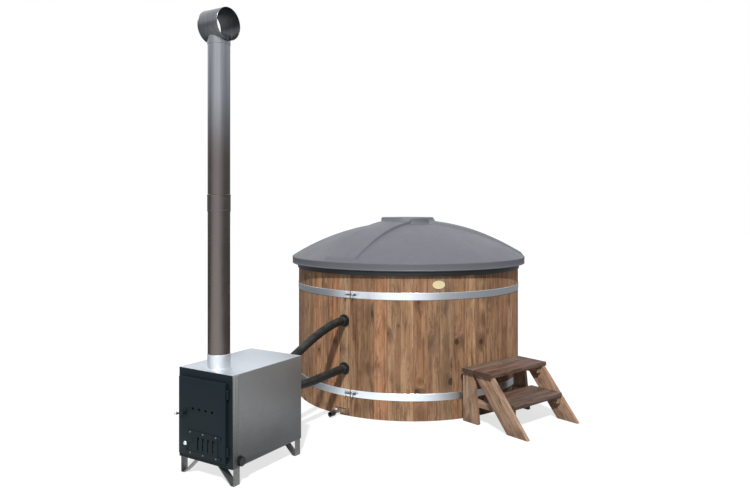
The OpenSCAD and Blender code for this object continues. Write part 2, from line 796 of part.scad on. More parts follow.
module door_seal() color("#d8d4c8") difference() {
    seal_in = 4;
    seal_bar = 6;
    box([open_x0 - seal_in - seal_bar, door_back, open_z0 - seal_in - seal_bar],
        [open_x1 + seal_in + seal_bar, door_back + gasket_t, open_z1 + seal_in + seal_bar]);
    box([open_x0 - seal_in, door_back - cut, open_z0 - seal_in],
        [open_x1 + seal_in, door_back + gasket_t + cut, open_z1 + seal_in]);
}

// Washers between the fixed and the moving knuckles
module hinge_washers() color(steel) for (z = hinge_zs)
    translate([hinge_x, hinge_y, z]) ring(knuckle_r, hinge_pin_r + run_fit, washer_t);

module hinge_pins() color(steel) for (z = hinge_zs)
    translate([hinge_x, hinge_y, z - pin_depth])
        cylinder(r = hinge_pin_r, h = pin_depth + door_knuckle_z + knuckle_h + 2);

// Two stepped strips whose lips hold the draught plate
module slide_rails() color(stove_black) for (r = [[lower_rail_z, 1], [upper_rail_z, -1]]) {
    box([rail_x0, door_front - rail_t, r[0]], [rail_x1, door_front, r[0] + rail_h]);
    box([rail_x0, door_front - rail_t - rail_lip_t, r[0] + min(0, r[1] * rail_lip)],
        [rail_x1, door_front - rail_t, r[0] + rail_h + max(0, r[1] * rail_lip)]);
}

module rail_screws() color(steel) for (x = rail_screw_xs, z = [lower_rail_z, upper_rail_z])
    translate([x, door_front - rail_t - rail_lip_t, z + rail_h / 2]) rotate([90, 0, 0]) {
        intersection() {
            translate([0, 0, -4]) sphere(r = 6);
            cylinder(r = 5, h = 5);
        }
    }

module draught_plate() color(stove_black) difference() {
    box([slide_x0, door_front - slide_gap - slide_t, slide_z0],
        [slide_x1, door_front - slide_gap, slide_z0 + slide_h]);
    for (x = slot_xs) box([x - slot_w / 2, door_front - 10, slot_z0],
        [x + slot_w / 2, door_front, slot_z0 + slot_h]);
}

module draught_knob() color(steel)
    translate([slide_knob_x, door_front - slide_gap - slide_t, slide_knob_z]) {
    translate([0, -16, 0]) along_y(4, 16);
    translate([0, -16 - ball_r + 2, 0]) sphere(r = ball_r);
}

// Plate behind the latch handle
module latch_plate() color(stove_black) difference() {
    box([latch_x - 13, door_front - escutcheon_t, latch_z - 22], [latch_x + 13, door_front, latch_z + 22]);
    translate([latch_x, door_front - 10, latch_z]) along_y(spindle_r + run_fit, 20);
}

module latch_spindle() color(steel) {
    y1 = frame_back + cam_gap + cam_t;
    translate([latch_x, arm_y, latch_z]) along_y(spindle_r, y1 - arm_y);
    box([latch_x - 5, y1 - cam_t, latch_z], [latch_x + 5, y1, latch_z + cam_len]);
}

// Places a child at the latch's axis, turned down by the handle's droop
module at_latch() translate([latch_x, 0, latch_z]) rotate([0, -latch_droop, 0]) children();

module latch_handle() color(stove_black) at_latch() difference() {
    union() {
        translate([0, arm_y - 8, 0]) along_y(9, 8);
        box([-latch_arm, arm_y - 7, -4], [0, arm_y - 1, 4]);
        translate([0, arm_y, 0]) along_y(9, 12 - 2 * fit);
    }
    translate([0, arm_y, 0]) along_y(spindle_r + run_fit, 20);
}

module latch_ball() color(steel) at_latch() difference() {
    translate([-latch_arm - latch_ball_r + 2, arm_y - 4, 0]) rotate([0, 90, 0]) sphere(r = latch_ball_r);
    box([-latch_arm - run_fit, arm_y - 20, -20], [0, arm_y + 20, 20]);
}

module stove_drain() color(steel) difference() {
    translate([tank_x1 - tank_t, stove_drain_y, stove_drain_z])
        along_x(stove_drain_r, body_x1 - tank_x1 + tank_t + drain_stub_end);
    translate([tank_x1 - 20, stove_drain_y, stove_drain_z]) along_x(stove_drain_r - 3, 100);
}

module stove_drain_cap() color(rubber_black)
    translate([body_x1 + 2, stove_drain_y, stove_drain_z]) difference() {
    cap_r = 23;
    cap_len = drain_stub_end + 4;
    union() {
        along_x(cap_r, cap_len);
        for (i = [0 : 7]) rotate([i * 45, 0, 0]) translate([0, -4, cap_r - 3]) cube([cap_len - 4, 8, 6]);
    }
    translate([-cut, 0, 0]) along_x(stove_drain_r + fit, cap_len - 5 + cut);
}

// ---------- flue ----------
module flue_collar() color(steel) translate([stove_x, flue_y, 0]) {
    difference() {
        union() {
            translate([0, 0, fire_z1 + fire_t]) cylinder(r = collar_r, h = collar_z1 - fire_z1 - fire_t);
            translate([0, 0, body_z1]) cylinder(r = collar_r + 8, h = 1.5);
        }
        translate([0, 0, fire_z1]) cylinder(r = throat_r, h = 400);
        translate([0, 0, pipe_seat]) cylinder(r = flue_r + fit, h = 400);
    }
}

module lower_flue() color("#6d645f") translate([stove_x, flue_y, pipe_seat])
    ring(flue_r, flue_r - flue_t, joint_z - pipe_seat);

module upper_flue() color("#6d645f") translate([stove_x, flue_y, 0]) rotate_extrude() {
    socket_r = flue_r + fit + flue_t;
    r_in = flue_r - flue_t;
    z0 = joint_z - socket_d;
    polygon([[flue_r + fit, z0], [socket_r + 1.5, z0], [socket_r + 1.5, z0 + 5], [socket_r, z0 + 6],
        [socket_r, joint_z - 4], [socket_r + 1.5, joint_z - 3], [socket_r + 1.5, joint_z + 2],
        [socket_r, joint_z + 3], [flue_r, joint_z + 7], [flue_r, flue_top], [r_in, flue_top],
        [r_in, joint_z], [flue_r + fit, joint_z]]);
}

// Open horizontal cylinder with a stub that drops over the pipe
module flue_hat() color("#8a8d90") translate([stove_x, flue_y, flue_top + hat_r - 23]) {
    wall = 1.5;
    stub_r = flue_r + fit + wall;
    difference() {
        union() {
            translate([-hat_len / 2, 0, 0]) along_x(hat_r, hat_len);
            translate([0, 0, -hat_r - 16]) cylinder(r = stub_r, h = 60);
        }
        translate([-hat_len / 2 - cut, 0, 0]) along_x(hat_r - wall, hat_len + 2 * cut);
        translate([0, 0, -hat_r - 17]) cylinder(r = flue_r + fit, h = 80);
    }
}

// ---------- steps ----------
module steps_frame() {
    rotate([0, 0, steps_az]) children();
}

// An outline in the u-z plane, as thick as a board, at one v
module side_board(v) {
    translate([0, v + board_t, 0]) rotate([90, 0, 0]) linear_extrude(board_t) children();
}

side_vs = [-frame_v, frame_v - board_t];
cleat_vs = [-frame_v + board_t, frame_v - 2 * board_t];
upper_screw_us = [upper_rear + 40, upper_rear + tread_d - 60];
lower_screw_us = [lower_rear + 60, lower_front - 60];

// Where the screws stand: [u, v, z of the tread's top]
screw_places = [for (v = [-frame_v + board_t / 2, frame_v - board_t / 2],
    u = upper_screw_us) [u, v, upper_tread_z],
    for (v = [-frame_v + 1.5 * board_t, frame_v - 1.5 * board_t],
        u = lower_screw_us) [u, v, lower_tread_z]];

module screw_holes() {
    for (p = screw_places) translate([p[0], p[1], p[2] - screw_len]) {
        cylinder(r = screw_r + fit, h = screw_len + cut);
        translate([0, 0, screw_len - screw_head_h]) cylinder(r = screw_head_r + fit, h = 10);
    }
}

module upper_tread() color(dark_wood) steps_frame() difference() {
    for (b = [[upper_rear, upper_rear + tread_split],
        [upper_rear + tread_split + board_gap, upper_rear + tread_d]])
        box([b[0], -tread_len / 2, upper_leg_z], [b[1], tread_len / 2, upper_tread_z]);
    screw_holes();
}

module lower_tread() color(dark_wood) steps_frame() difference() {
    half = frame_v - board_t - 1;
    for (b = [[lower_rear, lower_rear + tread_split], [lower_rear + tread_split + board_gap, lower_front]])
        box([b[0], -half, lower_leg_z], [b[1], half, lower_tread_z]);
    screw_holes();
}

module slanted_legs() color(wood) steps_frame() difference() {
    top_shift = lean * upper_leg_z;
    for (v = side_vs) side_board(v) polygon([[toe_u, 0], [toe_u - toe_cut, 0],
        [toe_u - toe_cut - top_shift, upper_leg_z], [toe_u - top_shift, upper_leg_z]]);
    screw_holes();
}

module rear_legs() color(wood) steps_frame() difference() {
    u0 = upper_rear - 4;
    u_top = toe_u - toe_cut - lean * upper_leg_z - 5;
    for (v = side_vs) side_board(v) polygon([[u0, 0], [u0 + rear_leg_w + 14, 0], [u_top, upper_leg_z],
        [u0, upper_leg_z]]);
    screw_holes();
}

module step_cleats() color(wood) steps_frame() difference() {
    for (v = cleat_vs) {
        box([upper_rear + 4, v, upper_leg_z - cleat_h],
            [upper_rear + tread_d - 16, v + board_t, upper_leg_z]);
        box([upper_rear + 4, v, lower_leg_z - cleat_h], [lower_front - 10, v + board_t, lower_leg_z]);
    }
    screw_holes();
}

module step_screws() color(steel) steps_frame() for (p = screw_places)
    translate([p[0], p[1], p[2] - screw_len + 4]) {
        cylinder(r = screw_r, h = screw_len - 4);
        translate([0, 0, screw_len - 4 - screw_head_h]) cylinder(r = screw_head_r, h = screw_head_h);
    }

floor_joists();
floor_panel();
liner_floor();
liner();
liner_bench();
staves();
upper_hoop();
lower_hoop();
hoop_bolts();
nameplate();
hot_inlet();
cold_outlet();
lock_rings();
inner_grilles();
floor_drain();
drain_pipe();
drain_valve_body();
drain_lever();
drain_hose_tail();
cover_shell();
cover_panel();
cover_seal();
hot_hose();
cold_hose();
hose_clamps();
firebox();
tank_shell();
casing();
rear_panel();
base_tray();
front_frame();
stove_legs();
leg_bolts();
stove_ports();
grate();
door_panel();
door_liner();
door_seal();
hinge_washers();
hinge_pins();
slide_rails();
rail_screws();
draught_plate();
draught_knob();
latch_plate();
latch_spindle();
latch_handle();
latch_ball();
stove_drain();
stove_drain_cap();
flue_collar();
lower_flue();
upper_flue();
flue_hat();
upper_tread();
lower_tread();
slanted_legs();
rear_legs();
step_cleats();
step_screws();
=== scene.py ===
"""Looks of a wooden hot tub: stave tub, domed cover, wood-fired stove, flue, hoses and steps.

Every length is in metres, in the same frame as the CAD: the origin is the centre of the tub
on the ground, +Z is up and the stove stands on the -Y side.
"""

from __future__ import annotations

import json
import logging
import math
import random
from dataclasses import dataclass, field
from enum import Enum
from functools import cache
from typing import Sequence

import bmesh
import bpy
from mathutils import Matrix, Vector

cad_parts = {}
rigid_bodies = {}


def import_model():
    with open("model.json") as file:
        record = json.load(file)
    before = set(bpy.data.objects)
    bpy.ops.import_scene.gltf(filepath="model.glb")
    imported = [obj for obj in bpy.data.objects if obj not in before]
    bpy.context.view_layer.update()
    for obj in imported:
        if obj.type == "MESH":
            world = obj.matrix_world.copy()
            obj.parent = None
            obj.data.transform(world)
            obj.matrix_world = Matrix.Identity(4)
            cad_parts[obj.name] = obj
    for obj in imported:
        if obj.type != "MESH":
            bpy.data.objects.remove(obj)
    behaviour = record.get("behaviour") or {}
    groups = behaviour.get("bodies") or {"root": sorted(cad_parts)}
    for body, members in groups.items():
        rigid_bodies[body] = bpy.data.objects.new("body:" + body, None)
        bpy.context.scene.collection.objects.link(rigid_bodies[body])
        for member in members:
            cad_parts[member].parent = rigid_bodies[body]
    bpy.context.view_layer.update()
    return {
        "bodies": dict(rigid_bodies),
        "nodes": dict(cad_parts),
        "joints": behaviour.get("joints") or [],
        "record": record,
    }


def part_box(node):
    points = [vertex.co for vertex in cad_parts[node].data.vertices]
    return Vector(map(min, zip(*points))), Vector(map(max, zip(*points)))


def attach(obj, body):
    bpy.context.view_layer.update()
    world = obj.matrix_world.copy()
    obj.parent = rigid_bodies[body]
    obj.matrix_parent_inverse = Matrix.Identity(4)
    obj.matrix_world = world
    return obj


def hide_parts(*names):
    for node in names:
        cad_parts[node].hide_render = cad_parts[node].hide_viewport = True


LOG = logging.getLogger("hot_tub")
Colour = tuple[float, float, float]
Point = tuple[float, float, float]
Socket = bpy.types.NodeSocket
X_AXIS, Y_AXIS, Z_AXIS = Vector((1, 0, 0)), Vector((0, 1, 0)), Vector((0, 0, 1))


# Node graphs
class Graph:
    """Adds and links nodes in one node tree."""

    def __init__(self, tree: bpy.types.NodeTree) -> None:
        """Keep the tree that nodes are added to."""
        self.tree = tree

    def put(self, socket: Socket, value: object) -> None:
        """Link a socket to another one, or set its own value.

        Args:
            socket: The input socket.
            value: The output socket to link from, or a plain value.
        """
        if isinstance(value, Socket):
            self.tree.links.new(value, socket)
        elif socket.type == "RGBA":
            socket.default_value = (*value[:3], 1.0)
        else:
            socket.default_value = value

    def add(self, kind: str, inputs: dict | None = None, **settings: object) -> bpy.types.Node:
        """Add one node.

        Args:
            kind: The node's type name after ShaderNode, such as Math.
            inputs: Socket name or index to a socket to link from, or a plain value.
            **settings: Properties to set on the node.

        Returns:
            The new node.
        """
        node = self.tree.nodes.new("ShaderNode" + kind)
        for name, value in settings.items():
            setattr(node, name, value)
        for key, value in (inputs or {}).items():
            self.put(node.inputs[key], value)
        return node

    def math(self, operation: str, first: Socket | float, second: Socket | float = 0.0,
             clamp: bool = False) -> Socket:
        """Return the result of a Math node on two values."""
        return self.add("Math", {0: first, 1: second}, operation=operation,
                        use_clamp=clamp).outputs[0]

    def times(self, first: Socket | float, second: Socket | float, clamp: bool = False) -> Socket:
        """Return the product of two values."""
        return self.math("MULTIPLY", first, second, clamp)

    def plus(self, first: Socket | float, second: Socket | float, clamp: bool = False) -> Socket:
        """Return the sum of two values."""
        return self.math("ADD", first, second, clamp)

    def vector(self, operation: str, *vectors: Socket | Point) -> Socket:
        """Return a Vector Math node's result, which is a number for a length or dot product."""
        node = self.add("VectorMath", dict(enumerate(vectors)), operation=operation)
        return node.outputs["Value" if operation in ("LENGTH", "DOT_PRODUCT") else "Vector"]

    def part(self, vector: Socket, index: int) -> Socket:
        """Return a vector's X, Y or Z by its index."""
        return self.add("SeparateXYZ", {0: vector}).outputs[index]

    def coords(self) -> Socket:
        """Return the object coordinates."""
        return self.add("TexCoord").outputs["Object"]

    def ease(self, value: Socket, start: float, end: float, low: float = 0.0,
             high: float = 1.0) -> Socket:
        """Return value eased from low at start to high at end."""
        inputs = {"Value": value, "From Min": start, "From Max": end, "To Min": low, "To Max": high}
        return self.add("MapRange", inputs, interpolation_type="SMOOTHSTEP").outputs["Result"]

    def noise(self, vector: Socket, scale: Socket | float, detail: float = 3.0,
              rough: float = 0.55, distortion: float = 0.0) -> Socket:
        """Return the value of a Noise texture."""
        return self.add("TexNoise", {"Vector": vector, "Scale": scale, "Detail": detail,
                                     "Roughness": rough, "Distortion": distortion}).outputs["Fac"]

    def mix(self, factor: Socket | float, first: Socket | Colour, second: Socket | Colour,
            blend: str = "MIX") -> Socket:
        """Return a colour mixed from two colours."""
        return self.add("Mix", {0: factor, 6: first, 7: second}, data_type="RGBA",
                        blend_type=blend).outputs[2]

    def tinted(self, first: Socket, second: Socket | Colour) -> Socket:
        """Return a colour multiplied by another one."""
        return self.mix(1.0, first, second, "MULTIPLY")

    def grey(self, value: Socket) -> Socket:
        """Return a grey whose three parts are one value."""
        return self.add("CombineColor", {0: value, 1: value, 2: value}).outputs[0]


Sockets = dict[str, Socket]


def board_grain(graph: Graph, given: Sockets) -> Sockets:
    """Build sawn board grain with rings, fibres, stains and knots.

    Args:
        graph: The group's graph.
        given: The group's inputs.

    Returns:
        The group's results by their names.
    """
    place, dark, mid, light = (given[name] for name in ("Vector", "Dark", "Mid", "Light"))
    # Knots sit on a loose lattice; each one pushes the rings aside.
    knots = graph.add("TexVoronoi", {"Vector": graph.vector("MULTIPLY", place, (7.6, 6.2, 1.0)),
                                     "Scale": 1.0, "Randomness": 0.95}).outputs
    pick = graph.add("SeparateColor", {0: knots["Color"]}).outputs
    chosen = graph.ease(pick[0], 0.44, 0.48)
    reach = graph.math("DIVIDE", knots["Distance"], graph.ease(pick[1], 0.0, 1.0, 0.05, 0.2))
    core, halo = (graph.times(graph.times(graph.ease(reach, far, near), chosen), given["Knots"])
                  for far, near in ((1.05, 0.72), (3.6, 0.9)))
    push = graph.add("CombineXYZ", {0: graph.times(halo, 0.016)}).outputs[0]
    bent = graph.vector("ADD", place, push)
    rings, lines, pale, blots, fibres = (
        graph.noise(graph.vector("MULTIPLY", bent, pitch), 1.0, *shape) for pitch, shape in (
            ((24.0, 1.3, 1.0), (3.0, 0.6, 0.55)), ((110.0, 3.2, 1.0), (2.0, 0.55, 0.4)),
            ((64.0, 4.5, 2.0), (2.0, 0.5, 0.3)), ((38.0, 8.0, 1.0), (4.0, 0.7, 0.4)),
            ((420.0, 26.0, 1.0), (2.0, 0.6))))
    stains = graph.noise(graph.vector("MULTIPLY", place, (7.5, 5.0, 1.0)), 1.0, 4.0, 0.65)
    body = graph.mix(graph.ease(rings, 0.36, 0.64), mid, light)
    for mark, start, end, share, tone in (
            (blots, 0.46, 0.68, 0.6, dark), (lines, 0.52, 0.70, 0.7, dark),
            (pale, 0.56, 0.72, 0.55, light), (fibres, 0.5, 0.8, 0.35, dark)):
        body = graph.mix(graph.ease(mark, start, end, 0.0, share), body, tone)
    stained = graph.times(graph.ease(stains, 0.5, 0.7), given["Stain"])
    body = graph.mix(stained, body, (0.15, 0.095, 0.07))
    body = graph.mix(graph.times(halo, 0.62), body, dark)
    body = graph.mix(core, body, (0.06, 0.034, 0.022))
    end_rings = graph.add("TexWave", {"Vector": place, "Scale": 90.0, "Distortion": 2.0,
                                      "Detail": 2.0}, wave_type="RINGS").outputs["Fac"]
    end_grain = graph.mix(graph.ease(end_rings, 0.2, 0.9, 0.2, 0.8), mid, dark)
    height = graph.math("SUBTRACT", graph.times(fibres, 0.6), graph.times(core, 0.5))
    return {"Color": graph.mix(given["End"], body, end_grain),
            "Roughness": graph.ease(rings, 0.3, 0.7, 0.52, 0.66),
            "Height": graph.plus(height, graph.times(lines, 0.5))}


def brushed_marks(graph: Graph, given: Sockets) -> Sockets:
    """Build the fine marks and soft smudges of rolled or brushed sheet.

    Args:
        graph: The group's graph.
        given: The group's inputs.

    Returns:
        The group's results by their names.
    """
    marks = graph.noise(given["Vector"], 1.0, 3.0, 0.6)
    smudge = graph.noise(graph.coords(), 9.0, 4.0, 0.6, 0.4)
    patches = graph.times(graph.ease(smudge, 0.42, 0.7), given["Smudge"])
    darker = graph.tinted(given["Color"], (0.72, 0.72, 0.74))
    colour = graph.mix(graph.times(patches, 0.55), given["Color"], darker)
    streaks = graph.times(graph.ease(marks, 0.35, 0.7), given["Streak"])
    rough = graph.plus(given["Roughness"], graph.times(marks, 0.12))
    return {"Color": graph.mix(streaks, colour, darker),
            "Roughness": graph.plus(rough, graph.times(patches, 0.14), clamp=True),
            "Height": marks}


def edge_wear(graph: Graph, given: Sockets) -> Sockets:
    """Build a mask of worn edges from the difference of a rounded and a plain normal.

    Args:
        graph: The group's graph.
        given: The group's inputs.

    Returns:
        The group's results by their names.
    """
    rounded = graph.add("Bevel", {"Radius": 0.003}, samples=4).outputs[0]
    plain = graph.add("NewGeometry").outputs["Normal"]
    broken = graph.noise(graph.coords(), 60.0, 4.0, 0.7)
    edge = graph.times(graph.ease(graph.vector("DOT_PRODUCT", rounded, plain), 0.995, 0.93),
                       graph.ease(broken, 0.38, 0.62))
    return {"Mask": graph.times(edge, given["Amount"], clamp=True)}


def dust_and_top_light_mask(graph: Graph, given: Sockets) -> Sockets:
    """Build a mask of faces that look up, for a dusty film that settles there; on the casing sheet
    the same mask lays a pale tone over the whole top, a painted top light.

    Args:
        graph: The group's graph.
        given: The group's inputs.

    Returns:
        The group's results by their names.
    """
    upward = graph.part(graph.add("NewGeometry").outputs["Normal"], 2)
    cloud = graph.plus(graph.noise(graph.coords(), 14.0, 5.0, 0.65), given["Even"])
    lying = graph.times(graph.ease(upward, 0.1, 0.9), graph.ease(cloud, 0.35, 0.75))
    return {"Mask": graph.times(lying, given["Amount"])}


def soft_mottle(graph: Graph, given: Sockets) -> Sockets:
    """Build slight cloudy changes of tone, sheen and height for mouldings and paint.

    Args:
        graph: The group's graph.
        given: The group's inputs.

    Returns:
        The group's results by their names.
    """
    coords = graph.coords()
    cloud = graph.noise(coords, 5.0, 5.0, 0.6)
    share = graph.times(graph.ease(cloud, 0.3, 0.7), given["Spread"])
    lighter = graph.tinted(given["Color"], (1.35, 1.35, 1.33))
    rough = graph.ease(cloud, 0.3, 0.7, -0.05, 0.07)
    return {"Color": graph.mix(share, given["Color"], lighter),
            "Roughness": graph.plus(given["Roughness"], rough, clamp=True),
            "Height": graph.noise(coords, given["Pebble"], 2.0, 0.5)}


class Effect(Enum):
    """Shared shader groups: the builder, whose name the group takes, its inputs and outputs."""

    GRAIN = (board_grain, "Vector Dark Mid Light Knots Stain End", "Color Roughness Height")
    BRUSH = (brushed_marks, "Vector Color Roughness Smudge Streak", "Color Roughness Height")
    WEAR = (edge_wear, "Amount", "Mask")
    DUST_AND_TOP_LIGHT = (dust_and_top_light_mask, "Amount Even", "Mask")
    MOTTLE = (soft_mottle, "Color Spread Roughness Pebble", "Color Roughness Height")


SOCKET_KINDS = {"Vector": "NodeSocketVector"} \
    | dict.fromkeys(("Color", "Dark", "Mid", "Light"), "NodeSocketColor")


@cache
def group_of(effect: Effect) -> bpy.types.NodeTree:
    """Build a shared group's node tree at the first call, and keep it.

    Args:
        effect: The effect that the group makes.

    Returns:
        The node tree that every material shares.
    """
    builder, takes, gives = effect.value
    tree = bpy.data.node_groups.new(builder.__name__, "ShaderNodeTree")
    for names, way in ((takes, "INPUT"), (gives, "OUTPUT")):
        for name in names.split():
            kind = SOCKET_KINDS.get(name, "NodeSocketFloat")
            tree.interface.new_socket(name, in_out=way, socket_type=kind)
    source, sink = tree.nodes.new("NodeGroupInput"), tree.nodes.new("NodeGroupOutput")
    for name, value in builder(Graph(tree), source.outputs).items():
        tree.links.new(value, sink.inputs[name])
    return tree


# Finishes
class MaterialBench:
    """One material under construction: its graph and its Principled shader."""

    def __init__(self, name: str, constants: dict[str, object] | None = None) -> None:
        """Start a material.

        Args:
            name: The material's name.
            constants: Shader socket name to its plain value.
        """
        self.material = bpy.data.materials.new(name)
        self.material.use_nodes = True
        self.graph = Graph(self.material.node_tree)
        self.wire({"IOR": 1.45, **(constants or {})})

    def wire(self, values: dict[str, object]) -> None:
        """Link or set the shader's sockets by their names.

        Args:
            values: Socket name to a socket to link from, or a plain value.
        """
        shader = self.material.node_tree.nodes["Principled BSDF"]
        for name, value in values.items():
            self.graph.put(shader.inputs[name], value)

    def effect(self, kind: Effect, inputs: dict[str, object]) -> Sockets:
        """Place a shared group in the material and return its outputs."""
        return self.graph.add("Group", inputs, node_tree=group_of(kind)).outputs

    def done(self, colour: Socket, rough: Socket | float, height: Socket,
             relief: float) -> bpy.types.Material:
        """Wire what varies over the surface.

        Args:
            colour: The base colour.
            rough: The roughness.
            height: The relief's height between 0 and 1.
            relief: The relief's depth in metres.

        Returns:
            The finished material.
        """
        bump = self.graph.add("Bump", {"Height": height, "Distance": relief, "Strength": 1.0})
        self.wire({"Base Color": colour, "Roughness": rough, "Normal": bump.outputs["Normal"]})
        return self.material


@dataclass(frozen=True)
class WoodFinish:
    """Planed or weathered boards whose grain follows each board's own UV map."""

    dark: Colour
    mid: Colour
    light: Colour
    knots: float = 0.9
    stain: float = 0.45
    spread: float = 0.5

    def build(self, name: str) -> bpy.types.Material:
        """Build the wood material, whose boards differ by their own number.

        Args:
            name: The material's name.

        Returns:
            The wood material.
        """
        bench = MaterialBench(name, {"IOR": 1.4})
        graph = bench.graph
        uv = graph.add("UVMap", uv_map="grain").outputs["UV"]
        board, end = (graph.add("Attribute", attribute_name=title).outputs["Fac"]
                      for title in ("board", "end"))
        place = graph.add("CombineXYZ", {0: graph.part(uv, 0), 1: graph.part(uv, 1),
                                         2: graph.times(board, 91.0)})
        grain = bench.effect(Effect.GRAIN, {
            "Vector": place.outputs[0], "Dark": self.dark, "Mid": self.mid, "Light": self.light,
            "Knots": self.knots, "Stain": self.stain, "End": end})
        shade, hue = (graph.math("FRACT", graph.times(board, factor)) for factor in (17.31, 41.77))
        tone = graph.ease(shade, 0.0, 1.0, 1.0 - 0.5 * self.spread, 1.0 + 0.42 * self.spread)
        colour = graph.tinted(grain["Color"], graph.grey(tone))
        warm, cool = (graph.tinted(colour, tint) for tint in ((1.11, 0.95, 0.87), (0.94, 1.0, 1.0)))
        worn = bench.effect(Effect.WEAR, {"Amount": 0.35})["Mask"]
        return bench.done(graph.mix(worn, graph.mix(hue, warm, cool), self.light),
                          grain["Roughness"], grain["Height"], 0.0006)


@dataclass(frozen=True)
class MetalFinish:
    """Bare, rolled or brushed metal.

    stretch sets the marks' spacing along X, Y and Z. painted_shade_and_tone_below is how much the
    colour turns to low_tone from its third value, a height, down to its second; on the casing it is
    painted shade, darker towards the bottom, and on the flue a darker, browner tone lower down.
    even is how evenly the dust_and_top_light_tone lies; on the casing that pale tone is a painted
    top light. soot is the
    Y, Z and radius of a lying tube that is sooty inside.
    """

    colour: Colour
    roughness: float = 0.3
    stretch: Point = (6.0, 6.0, 600.0)
    smudge: float = 0.4
    relief: float = 0.00004
    dust_and_top_light: float = 0.06
    streak: float = 0.22
    painted_shade_and_tone_below: tuple[float, float, float] = (0.0, 0.0, 1.0)
    metallic: float = 1.0
    dust_and_top_light_tone: Colour = (0.52, 0.5, 0.47)
    even: float = 0.0
    low_tone: Colour = (0.05, 0.05, 0.052)
    soot: Point = (0.0, 0.0, 0.0)

    def build(self, name: str) -> bpy.types.Material:
        """Build the metal material.

        Args:
            name: The material's name.

        Returns:
            The metal material.
        """
        bench = MaterialBench(name, {"Metallic": self.metallic})
        graph = bench.graph
        coords = graph.coords()
        marks = bench.effect(Effect.BRUSH, {
            "Vector": graph.vector("MULTIPLY", coords, self.stretch), "Color": self.colour,
            "Roughness": self.roughness, "Smudge": self.smudge, "Streak": self.streak})
        # Mask of upward faces: a dusty film, and on the casing a painted top light.
        dust_and_top_light = bench.effect(Effect.DUST_AND_TOP_LIGHT, {"Amount": self.dust_and_top_light, "Even": self.even})["Mask"]
        colour = marks["Color"]
        share, low, high = self.painted_shade_and_tone_below
        # Darker towards the bottom: painted shade on the casing, a darker, browner tone on the
        # flue.
        if share:
            low_down = graph.ease(graph.part(coords, 2), low, high, share, 0.0)
            colour = graph.mix(low_down, colour, self.low_tone)
        axis_y, axis_z, radius = self.soot
        if radius:
            from_axis = graph.vector("SUBTRACT", coords, (0.0, axis_y, axis_z))
            away = graph.vector("LENGTH", graph.vector("MULTIPLY", from_axis, (0.0, 1.0, 1.0)))
            inside = graph.ease(away, radius + 0.0002, radius - 0.0002, 0.0, 0.8)
            colour = graph.mix(inside, colour, (0.02, 0.02, 0.021))
        return bench.done(graph.mix(dust_and_top_light, colour, self.dust_and_top_light_tone), marks["Roughness"],
                          marks["Height"], self.relief)


@dataclass(frozen=True)
class MouldedFinish:
    """Plastic, rubber and paint: one colour with cloudy tone, fine pebble, wear and dust."""

    colour: Colour
    roughness: float = 0.5
    spread: float = 0.15
    pebble: float = 700.0
    relief: float = 0.0001
    wear: float = 0.0
    worn: Colour = (0.3, 0.3, 0.3)
    dust_and_top_light: float = 0.1
    dust_and_top_light_tone: Colour = (0.42, 0.4, 0.37)
    gloss: float = 0.5

    def build(self, name: str) -> bpy.types.Material:
        """Build the moulded or painted material.

        Args:
            name: The material's name.

        Returns:
            The material of a moulding or of paint.
        """
        bench = MaterialBench(name, {"Specular IOR Level": self.gloss})
        graph = bench.graph
        tone = bench.effect(Effect.MOTTLE, {
            "Color": self.colour, "Spread": self.spread, "Roughness": self.roughness,
            "Pebble": self.pebble})
        colour = tone["Color"]
        if self.wear:
            edge = bench.effect(Effect.WEAR, {"Amount": self.wear})["Mask"]
            colour = graph.mix(edge, colour, self.worn)
        dust_and_top_light = bench.effect(Effect.DUST_AND_TOP_LIGHT, {"Amount": self.dust_and_top_light})["Mask"]
        return bench.done(graph.mix(dust_and_top_light, colour, self.dust_and_top_light_tone), tone["Roughness"],
                          tone["Height"], self.relief)


@dataclass(frozen=True)
class RopeFinish:
    """Braided glass-fibre rope: crossing strands on object coordinates."""

    colour: Colour

    def build(self, name: str) -> bpy.types.Material:
        """Build the rope material.

        Args:
            name: The material's name.

        Returns:
            The rope material.
        """
        bench = MaterialBench(name)
        graph = bench.graph
        coords = graph.coords()
        braid = graph.math("MAXIMUM", *(
            graph.add("TexWave", {"Vector": graph.vector("MULTIPLY", coords, (turn, 1.0, 1.0)),
                                  "Scale": 420.0, "Distortion": 0.6},
                      bands_direction="DIAGONAL").outputs["Fac"] for turn in (1.0, -1.0)))
        soot = graph.ease(graph.noise(coords, 24.0, 4.0, 0.6), 0.4, 0.7, 0.0, 0.7)
        colour = graph.mix(graph.ease(braid, 0.2, 0.9), (0.2, 0.19, 0.17), self.colour)
        return bench.done(graph.mix(soot, colour, (0.09, 0.08, 0.075)), 0.9, braid, 0.0006)


